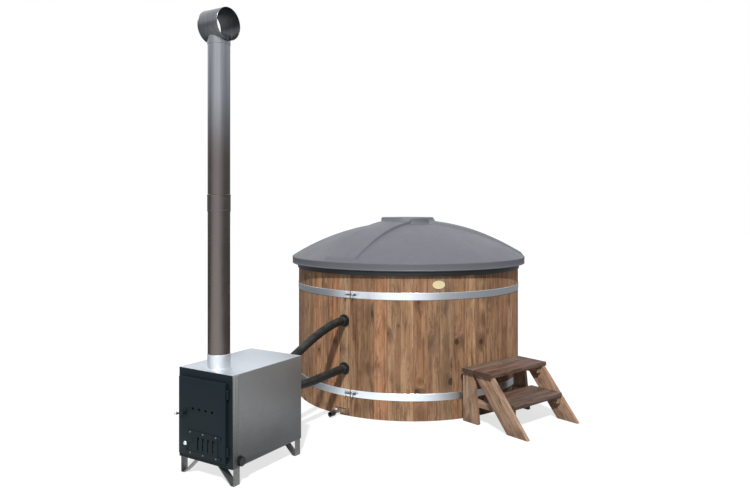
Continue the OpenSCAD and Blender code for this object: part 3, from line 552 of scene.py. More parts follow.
class Finish(Enum):
    """The record's material slots: each one's name there and its recipe."""

    JOIST = ("joist_wood", WoodFinish((0.12, 0.075, 0.045), (0.26, 0.18, 0.115),
        (0.36, 0.27, 0.18), 0.6))
    PLY = ("floor_ply", WoodFinish((0.34, 0.22, 0.13), (0.52, 0.38, 0.24), (0.62, 0.48, 0.33), 0.4,
        0.1))
    LINER = ("liner_plastic", MouldedFinish((0.042, 0.047, 0.05), 0.34, 0.1, 500.0, 0.00004,
        dust_and_top_light=0.04))
    STAVE = ("stave_wood", WoodFinish((0.096, 0.047, 0.022), (0.282, 0.150, 0.079),
        (0.450, 0.272, 0.158), 1.0, 0.5, 0.42))
    HOOP = ("hoop_steel", MetalFinish((0.78, 0.82, 0.87), 0.26, (5.0, 5.0, 700.0), 0.35))
    FASTENER = ("fastener_steel", MetalFinish((0.15, 0.155, 0.16), 0.42, (90.0, 90.0, 90.0), 0.6))
    PLATE = ("plate_brass", MetalFinish((0.92, 0.78, 0.46), 0.34, (14.0, 14.0, 900.0), 0.3,
        metallic=0.35))
    FITTING = ("fitting_plastic", MouldedFinish((0.015, 0.015, 0.016), 0.42, 0.2, 900.0, 0.00008,
        dust_and_top_light=0.05, gloss=0.25))
    DRAIN = ("drain_metal", MetalFinish((0.62, 0.62, 0.60), 0.28, (120.0, 120.0, 120.0), 0.5))
    LEVER = ("lever_vinyl", MouldedFinish((0.03, 0.03, 0.033), 0.38, 0.2, 900.0, 0.00008, 0.4,
        (0.4, 0.4, 0.4)))
    COVER = ("cover_plastic", MouldedFinish((0.124, 0.130, 0.146), 0.52, 0.08, 1100.0, 0.00014,
        dust_and_top_light=0.04))
    COVER_SEAL = ("cover_rubber", MouldedFinish((0.02, 0.02, 0.02), 0.8, 0.1, 1600.0, 0.0003))
    HOSE = ("hose_rubber", MouldedFinish((0.013, 0.013, 0.012), 0.55, 0.3, 500.0, 0.0002, dust_and_top_light=0.1,
        gloss=0.25))
    FIRE = ("fire_iron", MouldedFinish((0.035, 0.032, 0.03), 0.8, 0.8, 260.0, 0.0006, dust_and_top_light=0.5,
        dust_and_top_light_tone=(0.32, 0.31, 0.3)))
    TANK = ("tank_sheet", MetalFinish((0.62, 0.63, 0.64), 0.38, (40.0, 40.0, 40.0), 0.6))
    # Painted light and shade on the casing: the upward-facing mask at 3.0 with its pale tone makes
    # the whole top lighter, a painted top light, and painted_shade_and_tone_below darkens the
    # casing towards the bottom, a painted shade.
    CASING = ("casing_sheet", MetalFinish((0.45, 0.46, 0.463), 0.4, (4.0, 4.0, 420.0), 0.3,
        0.00003, 3.0, painted_shade_and_tone_below=(0.95, 0.10, 0.75), dust_and_top_light_tone=(0.58, 0.61, 0.63), even=0.3))
    STOVE = ("stove_paint", MouldedFinish((0.008, 0.015, 0.019), 0.5, 0.3, 800.0, 0.00012, 0.25,
        (0.07, 0.08, 0.085), 0.03, gloss=0.14))
    SHIELD = ("shield_steel", MouldedFinish((0.05, 0.05, 0.05), 0.7, 0.8, 300.0, 0.0004, dust_and_top_light=0.1))
    ROPE = ("seal_rope", RopeFinish((0.55, 0.53, 0.48)))
    KNOB = ("knob_steel", MetalFinish((0.62, 0.64, 0.65), 0.2, (300.0, 300.0, 300.0), 0.3,
        0.00001))
    LEG = ("leg_steel", MetalFinish((0.19, 0.19, 0.188), 0.5, (70.0, 70.0, 70.0), 0.9, 0.0001,
        0.03, 0.7))
    COLLAR = ("collar_steel", MetalFinish((0.68, 0.71, 0.74), 0.44, (300.0, 300.0, 6.0), 0.3))
    # On the flue, painted_shade_and_tone_below and low_tone turn the colour darker and browner from
    # 2.18 m down to 1.72 m.
    FLUE = ("flue_steel", MetalFinish((0.318, 0.329, 0.346), 0.27, (55.0, 55.0, 1.2), 0.45,
        streak=0.8, painted_shade_and_tone_below=(1.0, 1.72, 2.18), low_tone=(0.155, 0.133, 0.124),
        soot=(-2.142, 2.509, 0.0912)))
    TREAD = ("tread_wood", WoodFinish((0.040, 0.023, 0.018), (0.102, 0.064, 0.047),
        (0.20, 0.136, 0.104), 0.8, 0.6, 0.3))
    STEP_LEG = ("leg_wood", WoodFinish((0.155, 0.08, 0.043), (0.375, 0.226, 0.147),
        (0.56, 0.392, 0.278), 1.0, 0.4, 0.3))

    @property
    def slot(self) -> str:
        """The slot's name in the record."""
        return self.value[0]


@cache
def material_of(finish: Finish) -> bpy.types.Material:
    """Return a finish's material, built at its first use."""
    slot, recipe = finish.value
    return recipe.build(slot)


# Meshes
SHARP = math.radians(35.0)  # faces that meet at more than this share an edge to round
FLAT = math.radians(0.6)  # faces that meet at less than this become one
WELD = 2e-6  # corners of CAD triangles that are nearer than this become one
TURN_WELD = 1e-6  # the same for the corners of a turned shape
END_FACING = 0.8  # a face whose normal lies along the grain by more than this is end grain
SCATTER = 30.0  # metres each way that the boards' grain maps are spread over


def placed(name: str, data: bpy.types.ID) -> bpy.types.Object:
    """Make a new object and link it to the scene.

    Args:
        name: The object's name.
        data: Its mesh, curve, lamp or camera.

    Returns:
        The new object.
    """
    item = bpy.data.objects.new(name, data)
    bpy.context.scene.collection.objects.link(item)
    return item


class Forge:
    """Builds the mesh of one piece with bmesh operators."""

    def __init__(self) -> None:
        """Start an empty mesh."""
        self.bm = bmesh.new()

    def _newest(self, before: set) -> list:
        """Return the vertices that were added since before was taken."""
        return [v for v in self.bm.verts if v not in before]

    def block(self, low: Point, high: Point, round_by: float, segments: int,
              turn: Matrix) -> None:
        """Add a box with rounded edges.

        Args:
            low: The lowest corner.
            high: The highest corner.
            round_by: Width of the rounding of its edges.
            segments: Faces across a rounding.
            turn: A matrix to apply to the finished box.
        """
        before = set(self.bm.verts)
        size = [b - a for a, b in zip(low, high)]
        centre = [(a + b) / 2 for a, b in zip(low, high)]
        bmesh.ops.create_cube(self.bm, size=1.0,
                              matrix=Matrix.Translation(centre) @ Matrix.Diagonal((*size, 1.0)))
        self._round(self._newest(before), round_by, segments)
        bmesh.ops.transform(self.bm, matrix=turn, verts=self._newest(before))

    def _round(self, verts: list, width: float, segments: int) -> None:
        """Round the sharp edges among some vertices.

        Args:
            verts: The vertices.
            width: Width of the rounding.
            segments: Faces across a rounding.
        """
        chosen = set(verts)
        edges = [e for e in self.bm.edges if e.verts[0] in chosen and len(e.link_faces) == 2
                 and e.calc_face_angle(0.0) > SHARP]
        bmesh.ops.bevel(self.bm, geom=edges, offset=width, offset_type="OFFSET",
                        segments=segments, profile=0.5, affect="EDGES", material=-1,
                        clamp_overlap=True)

    def lift(self, faces: list, height: float, **options: bool) -> None:
        """Extrude faces along the local Z axis.

        Args:
            faces: The faces to extrude.
            height: How far they are lifted.
            **options: Settings of the extrusion.
        """
        grown = bmesh.ops.extrude_face_region(self.bm, geom=faces, **options)
        lifted = [v for v in grown["geom"] if isinstance(v, bmesh.types.BMVert)]
        bmesh.ops.translate(self.bm, vec=(0.0, 0.0, height), verts=lifted)

    def prism(self, outline: Sequence[tuple[float, float]], depth: float, place: Matrix,
              round_by: float = 0.0) -> None:
        """Extrude a flat outline along the local Z axis.

        Args:
            outline: The outline's corners in the local XY plane, counterclockwise.
            depth: The extrusion's length.
            place: From the local frame to the shared frame.
            round_by: Width of the rounding of its edges.
        """
        before = set(self.bm.verts)
        face = self.bm.faces.new([self.bm.verts.new((x, y, 0.0)) for x, y in outline])
        self.lift([face], depth, use_keep_orig=True)
        verts = self._newest(before)
        faces = {f for v in verts for f in v.link_faces}
        bmesh.ops.recalc_face_normals(self.bm, faces=list(faces))
        if round_by:
            self._round(verts, round_by, 2)
        bmesh.ops.transform(self.bm, matrix=place, verts=self._newest(before))

    def turned(self, profile: Sequence[tuple[float, float]], place: Matrix | None = None,
               steps: int = 96, closed: bool = True, sweep: float = 360.0) -> None:
        """Spin a profile of (radius, height) points round the local Z axis.

        Args:
            profile: The points, in order.
            place: From the local frame to the shared frame.
            steps: Faces round the whole sweep.
            closed: Whether the last point joins the first.
            sweep: The angle that is swept, in degrees.
        """
        before = set(self.bm.verts)
        verts = [self.bm.verts.new((r, 0.0, z)) for r, z in profile]
        edges = [self.bm.edges.new(pair) for pair in zip(verts, verts[1:])]
        if closed:
            edges.append(self.bm.edges.new((verts[-1], verts[0])))
        full = sweep >= 360.0
        ends = [] if full else [self.bm.faces.new(verts)]
        bmesh.ops.spin(self.bm, geom=verts + edges + ends, cent=(0, 0, 0), axis=(0, 0, 1),
                       dvec=(0, 0, 0), angle=math.radians(sweep), steps=steps, use_merge=full,
                       use_normal_flip=False, use_duplicate=False)
        bmesh.ops.remove_doubles(self.bm, verts=self._newest(before), dist=TURN_WELD)
        added = self._newest(before)
        faces = {f for v in added for f in v.link_faces}
        bmesh.ops.recalc_face_normals(self.bm, faces=list(faces))
        if place is not None:
            bmesh.ops.transform(self.bm, matrix=place, verts=added)

    def copied(self, source: bpy.types.Object, width: float, segments: int) -> None:
        """Take a CAD node's mesh, join its loose triangles and round its sharp edges.

        Args:
            source: The CAD node's object.
            width: Width of the rounding; 0 leaves the edges as they are.
            segments: Faces across a rounding.
        """
        self.bm.from_mesh(source.data)
        bmesh.ops.remove_doubles(self.bm, verts=self.bm.verts, dist=WELD)
        bmesh.ops.dissolve_limit(self.bm, angle_limit=FLAT, verts=self.bm.verts,
                                 edges=self.bm.edges, delimit={"NORMAL"})
        if width:
            self._round(list(self.bm.verts), width, segments)

    def lay_grain(self, along: Vector, seed: int) -> None:
        """Map every face with metres across and along its board's grain.

        Args:
            along: The direction of the grain.
            seed: Number that fixes the boards' random places.
        """
        rng = random.Random(seed)
        uv = self.bm.loops.layers.uv.new("grain")
        board = self.bm.faces.layers.float.new("board")
        end = self.bm.faces.layers.float.new("end")
        axis = along.normalized()
        left = set(self.bm.faces)
        while left:
            group = self._island(min(left, key=lambda face: face.index))
            left -= group
            number = rng.random()
            offset = (rng.uniform(-SCATTER, SCATTER), rng.uniform(-SCATTER, SCATTER))
            for face in group:
                face[board] = number
                on_end = abs(face.normal.dot(axis)) > END_FACING
                face[end] = float(on_end)
                side = axis.cross(face.normal)
                side = side.normalized() if side.length > 0.3 else axis.orthogonal().normalized()
                rise = axis.cross(side) if on_end else axis
                for loop in face.loops:
                    loop[uv].uv = (loop.vert.co.dot(side) + offset[0],
                                   loop.vert.co.dot(rise) + offset[1])

    def _island(self, start: bmesh.types.BMFace) -> set:
        """Collect the faces that are joined to a face.

        Args:
            start: The face.

        Returns:
            The face and all that hang together with it.
        """
        found, stack = {start}, [start]
        while stack:
            near = {face for edge in stack.pop().edges for face in edge.link_faces} - found
            found |= near
            stack += near
        return found

    def finish(self, name: str, smooth_to: float = 20.0) -> bpy.types.Object:
        """Turn the mesh into an object.

        Args:
            name: The object's name.
            smooth_to: Faces that meet at less than this angle are shaded as one surface.

        Returns:
            The new object, at the origin.
        """
        limit = math.radians(smooth_to)
        for face in self.bm.faces:
            face.smooth = True
        for edge in self.bm.edges:
            edge.smooth = len(edge.link_faces) == 2 and edge.calc_face_angle(0.0) < limit
        mesh = bpy.data.meshes.new(name)
        self.bm.to_mesh(mesh)
        self.bm.free()
        return placed(name, mesh)


class Body(Enum):
    """The bodies that move as one."""

    SET = "tub_set"
    COVER = "cover"
    DOOR = "stove_door"
    LATCH = "door_latch"
    SLIDE = "draught_slide"
    DRAIN = "drain_handle"
    CAP = "drain_cap"
    STEPS = "steps"


@dataclass
class SubAssembly:
    """A group of pieces that are built and dressed together."""

    nodes: dict[str, bpy.types.Object]
    made: list[str] = field(default_factory=list)

    def keep(self, piece: bpy.types.Object, finish: Finish, body: Body,
             stands_for: Sequence[str] = ()) -> None:
        """Give a new piece its finish, its body and the CAD nodes that it stands for.

        Args:
            piece: The new piece.
            finish: Its finish.
            body: The body that it rides on.
            stands_for: CAD nodes that it replaces.
        """
        piece.data.materials.clear()
        piece.data.materials.append(material_of(finish))
        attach(piece, body.value)
        if stands_for:
            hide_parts(*stands_for)
        self.made.append(piece.name)
        LOG.info("%s: %s on %s", type(self).__name__, piece.name, body.value)

    def soften(self, node: str, finish: Finish, body: Body, width: float = 0.0008,
               segments: int = 2, grain: Vector | None = None, seed: int = 1) -> None:
        """Replace a CAD node with a copy whose sharp edges are rounded.

        Args:
            node: The CAD node.
            finish: The copy's finish.
            body: The body that it rides on.
            width: Width of the rounding.
            segments: Faces across a rounding.
            grain: Direction of the wood's grain, if it is wood.
            seed: Number that fixes the boards' random places.
        """
        forge = Forge()
        forge.copied(self.nodes[node], width, segments)
        if grain is not None:
            forge.lay_grain(grain, seed)
        self.keep(forge.finish(node + "_soft"), finish, body, [node])

    def soften_all(self, *rows: tuple) -> None:
        """Soften several CAD nodes; each row holds what soften takes, in its order."""
        for row in rows:
            self.soften(*row)

    def dress(self, finish: Finish, *nodes: str) -> None:
        """Give CAD nodes whose shape is right a better material.

        Args:
            finish: Their finish.
            *nodes: The CAD nodes.
        """
        for node in nodes:
            mesh = self.nodes[node].data
            mesh.materials.clear()
            mesh.materials.append(material_of(finish))
            self.made.append(node)
            LOG.info("%s: %s keeps its shape", type(self).__name__, node)

    def build(self) -> None:
        """Build every piece of the sub-assembly."""
        raise NotImplementedError


def spun(azimuth: float) -> Matrix:
    """Return a turn about the shared Z axis by an angle in degrees."""
    return Matrix.Rotation(math.radians(azimuth), 4, "Z")


TO_FRONT = Matrix.Rotation(math.pi / 2, 4, "X")  # takes local +Z to -Y
TO_RIGHT = Matrix.Rotation(math.pi / 2, 4, "Y")  # takes local +Z to +X


# Tub
@dataclass
class Tub(SubAssembly):
    """Stave ring, hoops, plate, liner and fittings."""

    radius: float = 0.900
    stave_t: float = 0.042
    gap: float = 0.0005
    top: float = 1.0497
    count: int = 60
    hoop_heights: tuple[float, float] = (0.871, 0.166)
    lug_azimuth: float = -88.0
    hoop_gap: float = 0.008
    clearance: float = 0.0003

    def build(self) -> None:
        """Build the tub."""
        self.staves()
        for name, height in zip(("upper_hoop", "lower_hoop"), self.hoop_heights):
            self.hoop(name, height)
        self.plate()
        self.liner()
        self.soften_all(("floor_joists", Finish.JOIST, Body.SET, 0.002, 2, Y_AXIS, 5),
                        ("floor_panel", Finish.PLY, Body.SET, 0.0, 2, X_AXIS, 6),
                        ("hoop_bolts", Finish.FASTENER, Body.SET, 0.0007),
                        ("hot_inlet", Finish.FITTING, Body.SET, 0.002, 3),
                        ("cold_outlet", Finish.FITTING, Body.SET, 0.002, 3),
                        ("lock_rings", Finish.FITTING, Body.SET, 0.001),
                        ("inner_grilles", Finish.FITTING, Body.SET, 0.001),
                        ("drain_valve_body", Finish.DRAIN, Body.SET, 0.001),
                        ("drain_hose_tail", Finish.FITTING, Body.SET, 0.0012),
                        ("drain_lever", Finish.LEVER, Body.DRAIN, 0.0012))
        self.dress(Finish.DRAIN, "drain_pipe", "floor_drain")

    def staves(self) -> None:
        """Build the ring of boards, each with eased outer edges and its own grain."""
        forge = Forge()
        step = 360.0 / self.count
        half = math.radians(step / 2)
        out = self.radius * math.cos(half)
        w_out = self.radius * math.sin(half) - self.gap / 2
        w_in = (self.radius - self.stave_t / math.cos(half)) * math.sin(half) - self.gap / 2
        phase = math.degrees(math.atan2(-self.radius, -0.020))
        side = [(out - self.stave_t, w_in), (out - 0.0032, w_out),
                (out - 0.0009, w_out - 0.0012), (out, w_out - 0.0042)]
        outline = [(x, -y) for x, y in side] + side[::-1]
        for number in range(self.count):
            forge.prism(outline, self.top, spun(phase + number * step))
        forge.bm.normal_update()
        forge.lay_grain(Z_AXIS, 11)
        self.keep(forge.finish("stave_boards", 12.0), Finish.STAVE, Body.SET, ["staves"])

    def hoop(self, node: str, height: float) -> None:
        """Build one hoop: a rolled band and two lugs that its bolt pulls together.

        Args:
            node: The CAD node that it replaces.
            height: The band's middle above the ground.
        """
        forge = Forge()
        inner, thick, half, eased = self.radius + self.clearance, 0.002, 0.025, 0.0012
        gap = math.degrees(self.hoop_gap / inner)
        profile = [(inner, -half), (inner + eased, -half), (inner + thick, -half + eased),
                   (inner + thick, half - eased), (inner + eased, half), (inner, half)]
        place = Matrix.Translation((0, 0, height)) @ spun(self.lug_azimuth + gap / 2)
        forge.turned(profile, place, 240, sweep=360.0 - gap)
        frame = Matrix.Translation((0, 0, height)) @ spun(self.lug_azimuth)
        for side in (-1, 1):
            for middle, half_w, reach, segments in ((0.030, 0.002, 0.030, 3),
                                                    (0.041, 0.010, 0.0045, 2)):
                forge.block((inner + 0.0005, side * middle - half_w, -0.020),
                            (inner + reach, side * middle + half_w, 0.020), eased, segments, frame)
        self.keep(forge.finish(node + "_band"), Finish.HOOP, Body.SET, [node])

    def plate(self) -> None:
        """Build the bare oval plate with a raised rim and two small pins."""
        forge = Forge()
        wide, high, thick = 0.090, 0.058, 0.002
        outline = [(wide / 2 * math.cos(a), high / 2 * math.sin(a))
                   for a in (math.radians(d) for d in range(0, 360, 6))]
        # local X is the plate's width, local Y its height, local Z points away from the tub
        turn = Matrix(((0, 0, 1, 0), (1, 0, 0, 0), (0, 1, 0, 0), (0, 0, 0, 1)))
        place = spun(-47.0) @ Matrix.Translation((self.radius + self.clearance, 0, 0.952)) @ turn
        forge.prism(outline, thick * 0.7, Matrix.Identity(4), 0.0004)
        top = max(forge.bm.faces, key=lambda f: f.calc_center_median().z + f.calc_area())
        bmesh.ops.inset_region(forge.bm, faces=[top], thickness=0.0028, depth=0.0)
        rim = [f for f in forge.bm.faces if f is not top and f.normal.z > 0.9]
        forge.lift(rim, thick * 0.3)
        bmesh.ops.delete(forge.bm, geom=rim, context="FACES")
        for side in (-1, 1):
            pin = Matrix.Translation((side * 0.036, 0, thick * 0.7))
            forge.turned([(0, 0), (0.0022, 0), (0.0018, 0.0005), (0, 0.0006)], pin, 16)
        bmesh.ops.transform(forge.bm, matrix=place, verts=forge.bm.verts)
        self.keep(forge.finish("oval_plate"), Finish.PLATE, Body.SET, ["nameplate"])

    def liner(self) -> None:
        """Build the liner's wall, whose rim turns out over the staves and down."""
        forge = Forge()
        inner, out, lip = 0.8482, 0.8562, 0.908
        low, high = (corner[2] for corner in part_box("liner"))
        profile = [(inner, low), (inner, high - 0.012), (inner + 0.004, high - 0.003),
                   (inner + 0.012, high), (lip - 0.006, high), (lip - 0.0018, high - 0.0018),
                   (lip, high - 0.006), (lip, high - 0.044), (lip - 0.001, high - 0.045),
                   (lip - 0.0038, high - 0.045), (lip - 0.0038, high - 0.010),
                   (lip - 0.006, high - 0.008), (out, high - 0.008), (out, low)]
        forge.turned(profile, None, 144)
        self.keep(forge.finish("liner_wall", 40.0), Finish.LINER, Body.SET, ["liner"])
        self.soften("liner_floor", Finish.LINER, Body.SET, 0.0)
        self.soften("liner_bench", Finish.LINER, Body.SET, 0.003, 3)


# Cover
@dataclass
class Cover(SubAssembly):
    """The one-piece dome with its three raised bands and centre disc."""

    rim_r: float = 0.952
    dome_r: float = 1.782
    dome_z: float = -0.403
    band_half: float = 0.136
    band_h: float = 0.020
    azimuths: tuple[float, float, float] = (-93.0, 27.0, 147.0)
    disc_r: float = 0.218
    disc_top: float = 1.418
    dome_foot: float = 1.10
    shoulder: float = 0.004

    def build(self) -> None:
        """Build the cover."""
        forge = Forge()
        forge.turned(self.profile(), None, 192, closed=False)
        self.raise_bands(forge)
        self.keep(forge.finish("cover_dome", 34.0), Finish.COVER, Body.COVER, ["cover_shell"])
        self.dress(Finish.COVER, "cover_panel")
        self.dress(Finish.COVER_SEAL, "cover_seal")

    def height(self, radius: float) -> float:
        """Return the dome's height at a distance from its axis."""
        return self.dome_z + math.sqrt(self.dome_r ** 2 - radius ** 2)

    def profile(self) -> list[tuple[float, float]]:
        """Lay out the section from the centre, over the rim, to the underside.

        Returns:
            The points as (radius, height).
        """
        top, disc = self.disc_top, self.disc_r
        foot = self.height(disc)
        points = [(0.0, top), (0.11, top), (disc - 0.012, top - 0.0015),
                  (disc - 0.005, top - 0.004),
                  (disc - 0.001, top - 0.010), (disc, top - 0.018),
                  (disc + 0.002, foot + 0.012), (disc + 0.006, foot + 0.003)]
        start, end, count = disc + 0.014, self.rim_r - 0.011, 60
        radii = [start + (end - start) * i / count for i in range(count + 1)]
        points += [(radius, self.height(radius)) for radius in radii]
        edge, rim = self.height(self.rim_r), self.rim_r
        points += [(rim - 0.005, edge + 0.0026), (rim - 0.0018, edge + 0.0002),
                   (rim - 0.0004, edge - 0.0018), (rim, edge - 0.005), (rim - 0.0012, 1.088),
                   (rim - 0.0020, 1.062), (rim - 0.0016, 1.0592), (rim - 0.0003, 1.0575),
                   (rim, 1.055), (rim - 0.0008, 1.0518), (rim - 0.0026, 1.0502),
                   (rim - 0.0046, 1.050), (rim - 0.006, 1.0515), (rim - 0.006, 1.0692),
                   (0.0, 1.0692)]
        return points

    def raise_bands(self, forge: Forge) -> None:
        """Cut the dome along each band's sides and lift what lies between them.

        Args:
            forge: The mesh of the turned dome.
        """
        bm = forge.bm
        axes = [(spun(azimuth) @ X_AXIS, spun(azimuth) @ Y_AXIS) for azimuth in self.azimuths]
        for ahead, across in axes:
            for side in (-1, 1):
                for offset in (0.006, 0.004, 0.002, 0.0, -0.002, -0.004, -0.006):
                    spot = across * side * (self.band_half + offset)
                    middles = [(face, face.calc_center_median()) for face in bm.faces]
                    near = [face for face, at in middles if at.dot(ahead) > 0.0
                            and at.z > self.dome_foot and abs((at - spot).dot(across)) < 0.06]
                    geom = near + list({e for f in near for e in f.edges}) \
                        + list({v for f in near for v in f.verts})
                    bmesh.ops.bisect_plane(bm, geom=geom, dist=2e-5, plane_co=spot,
                                           plane_no=across, use_snap_center=False)
        for vert in bm.verts:
            flat = math.hypot(vert.co.x, vert.co.y)
            if flat < self.disc_r + 0.001 or vert.co.z < self.dome_foot:
                continue
            lift = max(self._share(vert.co, ahead, across) for ahead, across in axes)
            fade = self._ease((self.rim_r - 0.006 - flat) / 0.030)
            fade *= 1.0 - 0.4 * self._ease((flat - 0.45) / 0.45)
            outward = (vert.co - Vector((0, 0, self.dome_z))).normalized()
            vert.co += outward * self.band_h * lift * fade

    def _share(self, point: Vector, ahead: Vector, across: Vector) -> float:
        """Work out how much of a band's height a point gets.

        Args:
            point: The point.
            ahead: The direction that the band runs in from the centre.
            across: The direction across the band.

        Returns:
            A share between 0 and 1.
        """
        if point.dot(ahead) < 0.0:
            return 0.0
        into = self.band_half + self.shoulder - abs(point.dot(across))
        return self._ease(into / (2 * self.shoulder))

    @staticmethod
    def _ease(share: float) -> float:
        """Return a smooth step of a share that is held between 0 and 1."""
        share = min(max(share, 0.0), 1.0)
        return share * share * (3.0 - 2.0 * share)


# Hoses
@dataclass
class Hoses(SubAssembly):
    """The hot and the cold water hose with their clamps."""

    x: float = -0.020
    radius: float = 0.029
    hot: tuple = ((-1.640, .490), (-1.612, .490), (-1.575, .497), (-1.530, .511), (-1.470, .534),
                  (-1.400, .562), (-1.310, .598), (-1.220, .629), (-1.135, .653), (-1.060, .670),
                  (-1.000, .679), (-0.950, .682), (-0.922, .682))
    cold: tuple = ((-1.640, .335), (-1.612, .335), (-1.550, .333), (-1.470, .330), (-1.370, .328),
                   (-1.270, .328), (-1.170, .331), (-1.070, .335), (-1.000, .337), (-0.950, .338),
                   (-0.922, .338))

    def build(self) -> None:
        self.hose("hot_hose", self.hot)
        self.hose("cold_hose", self.cold)
        self.soften("hose_clamps", Finish.FASTENER, Body.SET, 0.0005)

    def hose(self, node: str, route: tuple) -> None:
        """Build one hose as a round tube along its route.

        Args:
            node: The CAD node that it replaces.
            route: Points of its centre line as (y, z).
        """
        points = [Vector((self.x, y, z)) for y, z in route]
        curve = bpy.data.curves.new(node + "_tube", "CURVE")
        curve.dimensions = "3D"
        curve.bevel_depth = self.radius
        curve.bevel_resolution = 7
        curve.resolution_u = 6
        curve.use_fill_caps = True
        spline = curve.splines.new("BEZIER")
        spline.bezier_points.add(len(points) - 1)
        for place, point in zip(spline.bezier_points, points):
            place.co = point
            place.handle_left_type = place.handle_right_type = "AUTO"
        piece = placed(node + "_tube", curve)
        self.keep(piece, Finish.HOSE, Body.SET, [node])


# Stove
@dataclass
class Stove(SubAssembly):
    """The stove's body, door, latch, draught slide, legs and drain."""

    x0: float = -0.222
    x1: float = 0.182
    front_y: float = -2.247
    z0: float = 0.094
    z1: float = 0.594

    def build(self) -> None:
        """Build the stove from its casing to the drain's screwed cap."""
        self.soften_all(("casing", Finish.CASING, Body.SET, 0.0012, 3),
                        ("rear_panel", Finish.CASING, Body.SET, 0.0006),
                        ("base_tray", Finish.CASING, Body.SET, 0.001))
        self.beads()
        self.soften_all(("tank_shell", Finish.TANK, Body.SET, 0.0),
                        ("firebox", Finish.FIRE, Body.SET, 0.0),
                        ("grate", Finish.FIRE, Body.SET, 0.0015),
                        ("stove_legs", Finish.LEG, Body.SET, 0.001),
                        ("leg_bolts", Finish.FASTENER, Body.SET),
                        ("front_frame", Finish.STOVE, Body.SET, 0.0009),
                        ("door_panel", Finish.STOVE, Body.DOOR, 0.0014, 3),
                        ("door_liner", Finish.SHIELD, Body.DOOR, 0.0005),
                        ("slide_rails", Finish.STOVE, Body.DOOR, 0.0006),
                        ("draught_plate", Finish.STOVE, Body.SLIDE, 0.0005),
                        ("latch_plate", Finish.STOVE, Body.DOOR),
                        ("latch_handle", Finish.STOVE, Body.LATCH, 0.0012),
                        ("latch_spindle", Finish.KNOB, Body.LATCH, 0.0006),
                        ("hinge_washers", Finish.STOVE, Body.SET, 0.0003),
                        ("hinge_pins", Finish.STOVE, Body.SET, 0.0006))
        self.screws()
        self.soften("stove_drain_cap", Finish.FITTING, Body.CAP, 0.001)
        self.dress(Finish.DRAIN, "stove_ports", "stove_drain")
        self.dress(Finish.ROPE, "door_seal")
        self.dress(Finish.KNOB, "latch_ball", "draught_knob")

    def beads(self) -> None:
        """Build the beads that are rolled into the casing's front strip, two on each side."""
        forge = Forge()
        for side, x in ((-1, self.x0 - 0.0015), (1, self.x1 + 0.0015)):
            for y in (self.front_y + 0.016, self.front_y + 0.036):
                place = Matrix.Translation((x, y, self.z0 + 0.004)) @ spun(0 if side > 0 else 180)
                outline = [(-0.0004, -0.003), (0.0006, -0.0022), (0.0012, 0.0), (0.0006, 0.0022),
                           (-0.0004, 0.003)]
                forge.prism(outline, self.z1 - self.z0 - 0.012, place)
        self.keep(forge.finish("casing_beads", 60.0), Finish.CASING, Body.SET)

    def screws(self) -> None:
        """Build the domed heads of the six rail screws."""
        forge = Forge()
        low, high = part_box("rail_screws")
        head = [(0.0, 0.0), (0.005, 0.0), (0.0048, 0.0007), (0.0038, 0.0014),
                (0.0024, 0.00185), (0.0, 0.002)]
        inset = 0.005
        for x in (low[0] + inset, (low[0] + high[0]) / 2, high[0] - inset):
            for z in (low[2] + inset, high[2] - inset):
                place = Matrix.Translation((x, high[1], z)) @ TO_FRONT
                forge.turned(head, place, 24, closed=False)
        self.keep(forge.finish("rail_screw_heads", 40.0), Finish.FASTENER, Body.DOOR,
                  ["rail_screws"])


